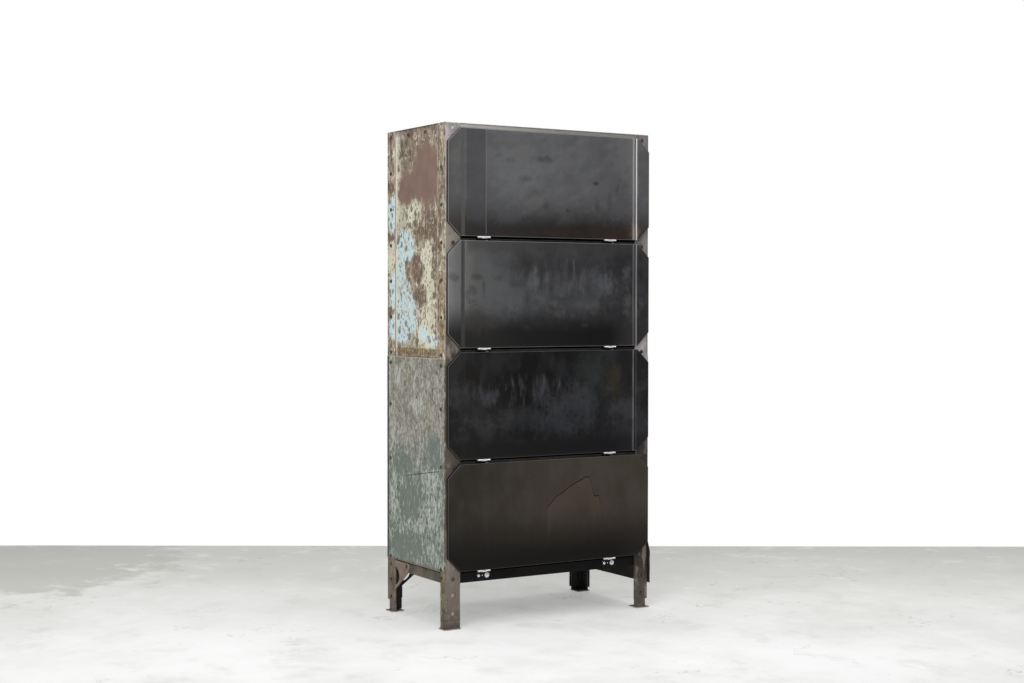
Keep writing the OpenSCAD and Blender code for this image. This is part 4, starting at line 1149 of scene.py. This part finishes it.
def lower_door_finish():
    """Almost black, with paler smudges and drips along its middle."""
    door = WaxedDoor("waxed_steel_lower", "door_lower", [
        (0.000, (28, 26, 25)), (0.320, (16, 15, 16)), (0.440, (15, 14, 15)), (0.600, (23, 24, 25)),
        (0.860, (28, 27, 29)),
    ], [
        (0.000, (26, 25, 24)), (0.440, (20, 19, 21)), (0.680, (18, 17, 20)), (0.860, (32, 30, 33)),
    ], (0.260, 0.340), (0.05, 0.12), 15.0)
    door.smear(47.0, [
        (0.075, 0.175, 0.055, 0.060, (44, 44, 45), 0.60),
        (0.168, 0.164, 0.040, 0.032, (54, 55, 59), 0.80),
        (0.392, 0.165, 0.038, 0.034, (56, 57, 62), 0.85),
        (0.372, 0.115, 0.007, 0.026, (62, 63, 66), 0.60),
        (0.402, 0.120, 0.007, 0.030, (62, 63, 66), 0.60),
        (0.205, 0.150, 0.007, 0.026, (58, 59, 60), 0.60),
        (0.330, 0.240, 0.140, 0.045, (42, 44, 46), 0.65),
        (0.530, 0.200, 0.120, 0.080, (50, 51, 56), 0.75),
        (0.470, 0.265, 0.140, 0.035, (44, 46, 50), 0.60),
        (0.600, 0.075, 0.070, 0.070, (42, 46, 45), 0.60),
        (0.712, 0.115, 0.050, 0.065, (52, 46, 32), 0.60),
        (0.765, 0.215, 0.065, 0.040, (56, 55, 58), 0.60),
        (0.280, 0.190, 0.020, 0.040, (24, 22, 22), 0.50),
        (0.160, 0.265, 0.070, 0.030, (42, 40, 37), 0.50),
    ])
    drips = door.place.patch(0, [(-0.110, door.high.z - 0.145, 0.320, 0.075)]).rise(0.0, 0.5)
    door.wipe(drips, 0.021, (1, 1, 0.22), (66, 67, 70), (14, 13, 14), 0.62, 59.0)
    field = door.drop.rise(0.36, 0.26) * door.drop.rise(0.04, 0.14)
    door.wipe(field, 0.060, (0.8, 1, 0.9), (60, 61, 64), (17, 16, 17), 0.36, 61.0)
    door.paint_groove_light_and_shade((36, 35, 36), 0.30, 0.05, 0.40)
    door.paint_rim_light_and_return_shade(0.15)
    return door.done(0.40)


def bottom_door_finish():
    """Plain, browned steel with the outline of an old splash like a hill."""
    door = WaxedDoor("olive_steel", "door_bottom", [
        (0.000, (44, 40, 35)), (0.560, (60, 53, 46)),
    ], [
        (0.000, (20, 18, 15)), (0.680, (18, 15, 13)), (0.860, (30, 26, 23)),
    ], (0.150, 0.360), (0.04, 0.14), 17.0)
    x, z = door.place.axis(0), door.place.axis(2)
    wobble = 0.014 * (door.place.grain(0.030, 4.0, seed=3.3) - 0.5)
    climb = door.place.maths("POWER", ((x + 0.021) / 0.165).larger(0.0), 0.65)
    fall = 0.034 * (0.217 - x).rise(0.0, 0.010) + 0.071 * (0.190 - x).rise(0.0, 0.026)
    crest = (0.4035 + 0.109 * climb).smaller(0.4085 + fall) + wobble
    within = x.rise(-0.024, -0.016) * x.rise(0.220, 0.214)
    below = crest - z
    door.tint(below.rise(-0.001, 0.003) * below.rise(0.13, 0.01) * within, (80, 70, 60), 0.32)
    door.tint((z - crest).line(0.0032, 0.0018) * within, (17, 15, 14), 0.80)
    door.paint_rim_light_and_return_shade(0.12)
    return door.done(0.46)


doors = (("top", True, "waxed_steel", top_door_finish),
         ("upper", True, "waxed_steel", upper_door_finish),
         ("lower", True, "waxed_steel", lower_door_finish),
         ("bottom", False, "olive_steel", bottom_door_finish))
for seed, (bay, grooved, slot, finish) in enumerate(doors):
    node = "door_" + bay
    skin = door_shape(node, grooved, seed * 3.7)
    made = piece(node + "_steel", skin, node, slot, finish(), node)
    shell = made.modifiers.new("wall", "SOLIDIFY")
    shell.thickness = door_wall
    shell.offset = -1
    shell.use_even_offset = True

# ---------------------------------------------------------------------------------------------
# Hinges, stays, guides, magnets and rivets: turned, rolled or stamped parts, zinc-plated but for
# the iron rivets. They keep the drawing's meshes and take a finish here.


def plated(name, light, dark, rough):
    material, place = new_finish(name)
    clouds = place.grain(0.012, 3.0, seed=91.0)
    colour = clouds.rise(0.3, 0.7).over(dark, light)
    rough = rough + 0.15 * (clouds - 0.5)
    return lay(material, colour, rough, clouds, 0.0002, metallic=0.35, specular=0.5)


hinge_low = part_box("hinge_leaves_bottom")[0].z
hinge_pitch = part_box("hinge_leaves_lower")[0].z - hinge_low


def bracket_finish():
    """Zinc barrels in front, with painted shade on their lower part, and leaves painted over with
    the rail behind.
    """
    material, place = new_finish("bracket_zinc")
    clouds = place.grain(0.012, 3.0, seed=92.0)
    bright = clouds.rise(0.3, 0.7).over((212, 212, 214), (238, 238, 240))
    # Painted shade: each barrel is darkened below its top few millimetres.
    up = place.maths("FLOORED_MODULO", place.axis(2) - hinge_low, hinge_pitch)
    barrel_light_and_shade = up.rise(0.0022, 0.0036).over((92, 90, 90), bright)
    ahead = place.axis(1).rise(front - 0.0075, front - 0.0095)
    colour = ahead.over((20, 18, 19), barrel_light_and_shade)
    return lay(material, colour, 0.35 + 0.15 * (clouds - 0.5), clouds, 0.0002, specular=0.12)


def rivet_finish():
    """Hand-set iron rivets, near black with rust. Those low on the front legs and the top left one
    carry a painted highlight, and those inside the legs painted shade.
    """
    material, place = new_finish("rivet_iron")
    clouds = place.grain(0.010, 3.0, seed=93.0)
    each = place.grain(0.18, 1.0, seed=94.0).rise(0.35, 0.65)
    colour = each.over((38, 29, 25), (64, 51, 44))
    colour = clouds.rise(0.52, 0.68).over(colour, (104, 82, 68), 0.4)
    up, ahead = place.axis(2), place.axis(1).rise(-0.18, -0.2)
    # Painted highlight on the low rivets of the front legs.
    low = up.rise(0.16, 0.14) * ahead * place.axis(0).rise(0.1, -0.1)
    colour = low.over(colour, (164, 152, 142), 0.65)
    # Painted highlight on the top left rivet.
    top_left_highlight = up.rise(1.74, 1.76) * ahead * place.axis(0).rise(-0.3, -0.35)
    colour = top_left_highlight.over(colour, (178, 172, 174), 0.8)
    # Painted shade on the rivets inside the legs.
    side_gap, depth_gap = gaps(place)
    inner = side_gap.smaller(depth_gap).rise(*inner_shade_depths) * up.rise(0.26, 0.20)
    colour = inner.over(colour, (15, 13, 12))
    return lay(material, colour, 0.48 + 0.2 * (clouds - 0.5), clouds, 0.0005, specular=0.5)


def gusset_finish():
    """Knee gussets: brown-grey iron, with painted shade, near black, on the inner faces of those at
    the back.
    """
    material, place = new_finish("gusset_iron")
    clouds = place.grain(0.03, 4.0, seed=95.0)
    fine = place.grain(0.006, 3.0, seed=96.0)
    colour = clouds.rise(0.3, 0.7).over((112, 97, 87), (140, 124, 113))
    # Painted shade on the inner faces of the gussets at the back.
    side_gap, depth = gaps(place)[0], place.axis(1)
    shut_in_shade = side_gap.rise(0.0056, 0.0064) * depth.rise(back - 0.0008, back - 0.0016)
    inner = side_gap.rise(0.0040, 0.0048) * depth.rise(back - 0.0058, back - 0.0062)
    colour = shut_in_shade.larger(inner).over(colour, (32, 29, 27))
    return lay(material, colour, 0.6 + 0.2 * (fine - 0.5), fine, 0.0004, specular=0.3)


zinc = plated("zinc", (232, 232, 234), (198, 198, 201), 0.34)
magnet = plated("magnet_black", (40, 40, 42), (28, 28, 30), 0.5)
dress(gusset_finish(), "knee_gussets")
dress(bracket_finish(), "hinge_brackets")
dress(rivet_finish(), "rivets_front", "rivets_left", "rivets_right", "rivets_back")
dress(magnet, "magnets")
dress(zinc, "hinge_bolts", "hinge_pins")
dress(black_rail, "stay_guides", "guide_rivets")
for bay in bays:
    dress(zinc, "hinge_leaves_" + bay, "door_rivets_" + bay)
    dress(black_rail, "stays_" + bay)

# ---------------------------------------------------------------------------------------------
# Floor and wall. A pale, worn concrete floor that meets a white wall behind the cabinet. The
# wall is only seen from its front, and lights and shades nothing. Nearly half of the floor's
# paleness is painted light: the floor glows with its own colour, so that the cabinet's shadow on
# it stays light. Its tone is graded with distance from the camera, darker towards the wall, as
# painted falloff of the light.

aim = Vector((math.sin(camera_turn), math.cos(camera_turn), 0))
sideways = Vector((aim.y, -aim.x, 0))
wall_distance = 7.74
wall_high = 9.0
floor_far = 16.0
floor_glow = 0.42


def floor_finish():
    material, place = new_finish("floor_concrete")
    clouds = place.grain(0.55, 5.0, seed=61.0)
    fine = place.grain(0.02, 4.0, seed=62.0)
    ahead = place.axis(0) * aim.x + place.axis(1) * aim.y - camera.location.dot(aim)
    aside = place.axis(0) * sideways.x + place.axis(1) * sideways.y - camera.location.dot(sideways)
    # Painted light falloff: the floor's tone darkens with distance from the camera.
    tones_and_light = [(4.6, (244, 244, 243)), (5.4, (250, 250, 250)), (6.3, (238, 238, 236)),
             (7.1, (216, 217, 213)), (7.7, (206, 207, 203))]
    colour = (0.45 * clouds.rise(0.40, 0.70)).over(across(ahead, tones_and_light), (220, 219, 215))
    marks = place.grain(0.12, 5.0, (1, 0.75, 1), seed=63.0)
    colour = marks.rise(0.50, 0.72).over(colour, (196, 194, 189), 0.22)
    colour = marks.rise(0.46, 0.30).over(colour, (255, 255, 253), 0.25)
    beyond, off = (ahead - 7.2) / 0.9, (aside + 2.1) / 0.65
    damp = (1 - beyond * beyond - off * off + 3.0 * (marks - 0.5)).rise(-0.1, 0.5)
    colour = damp.over(colour, (186, 188, 178), 0.55)
    crack = (place.grain(0.70, 5.0, seed=65.0) - 0.5).line(0.0035, 0.0025)
    crack = crack * place.grain(0.35, 3.0, seed=66.0).rise(0.48, 0.60)
    colour = crack.over(colour, (158, 155, 149), 0.35)

    def dimmed(share):
        """The floor's colour at a share of its brightness."""
        sockets = {0: 1.0, 6: colour, 7: (share, share, share, 1)}
        return place.node("Mix", {"data_type": "RGBA", "blend_type": "MULTIPLY"}, sockets, 2)

    # Painted light: the floor glows with a share of its own colour.
    shader = material.node_tree.nodes["Principled BSDF"]
    material.node_tree.links.new(dimmed(floor_glow).socket, shader.inputs["Emission Color"])
    shader.inputs["Emission Strength"].default_value = 1.0
    rough = 0.75 + 0.1 * (fine - 0.5)
    return lay(material, dimmed(1 - floor_glow), rough, fine, 0.0004, specular=0.2)


def wall_finish():
    material, place = new_finish("wall_white")
    tree = material.node_tree
    white = place.node("Emission", {}, {"Color": (1, 1, 1, 1), "Strength": 1.0})
    clear = place.node("BsdfTransparent", {}, {})
    behind = place.node("NewGeometry", {}, {}, 6)
    mixed = place.node("MixShader", {}, {0: behind, 1: white, 2: clear})
    tree.links.new(mixed.socket, tree.nodes["Material Output"].inputs["Surface"])
    return material


def stage_plane(name, corners, finish):
    shape = bmesh.new()
    shape.faces.new([shape.verts.new(corner) for corner in corners])
    mesh = bpy.data.meshes.new(name)
    shape.to_mesh(mesh)
    shape.free()
    mesh.materials.append(finish)
    made = put(name, mesh)
    return made


square = ((-1, -1), (1, -1), (1, 1), (-1, 1))
stage_plane("floor", [(x * floor_far, y * floor_far, 0) for x, y in square], floor_finish())
wall_foot = Vector((camera.location.x, camera.location.y, 0)) + wall_distance * aim
wall_corners = [wall_foot + end * floor_far * sideways + Vector((0, 0, height))
                for end, height in ((-1, -0.01), (1, -0.01), (1, wall_high), (-1, wall_high))]
wall = stage_plane("wall", wall_corners, wall_finish())
wall.visible_diffuse = False
wall.visible_glossy = False
wall.visible_shadow = False

# ---------------------------------------------------------------------------------------------
# Light. White surroundings for the eye, an even sky for the surfaces, and one large soft lamp
# from the left and above the front. Dull reflections keep the dark doors dark.


def lamp(name, spot, target, size, power):
    made = put(name, bpy.data.lights.new(name, "AREA"))
    made.data.shape = "RECTANGLE"
    made.data.size, made.data.size_y = size
    made.data.energy = power
    made.location = spot
    made.rotation_euler = (Vector(target) - Vector(spot)).to_track_quat("-Z", "Y").to_euler()


lamp("soft_left", (-3.4, -3.2, 3.2), (0, 0, 0.9), (2.6, 2.6), 130)
lamp("soft_top", (0.2, -0.6, 4.2), (0, 0, 0), (3.2, 3.2), 82)

world = bpy.data.worlds.new("surroundings")
bpy.context.scene.world = world
world.use_nodes = True
sky = world.node_tree.nodes["Background"]
start = Wire(world.node_tree, None)
path = start.node("LightPath", {}, {})
seen = Wire(world.node_tree, path.socket.node.outputs["Is Camera Ray"])
through = Wire(world.node_tree, path.socket.node.outputs["Is Transmission Ray"])
mirrored = Wire(world.node_tree, path.socket.node.outputs["Is Glossy Ray"])
ambient = 0.42
gloss = 0.20
strength = seen.larger(through)
strength = strength + (1 - strength) * (ambient + (gloss - ambient) * mirrored)
world.node_tree.links.new(strength.socket, sky.inputs["Strength"])
sky.inputs["Color"].default_value = (1, 1, 1, 1)
bpy.context.scene.view_settings.view_transform = "Standard"
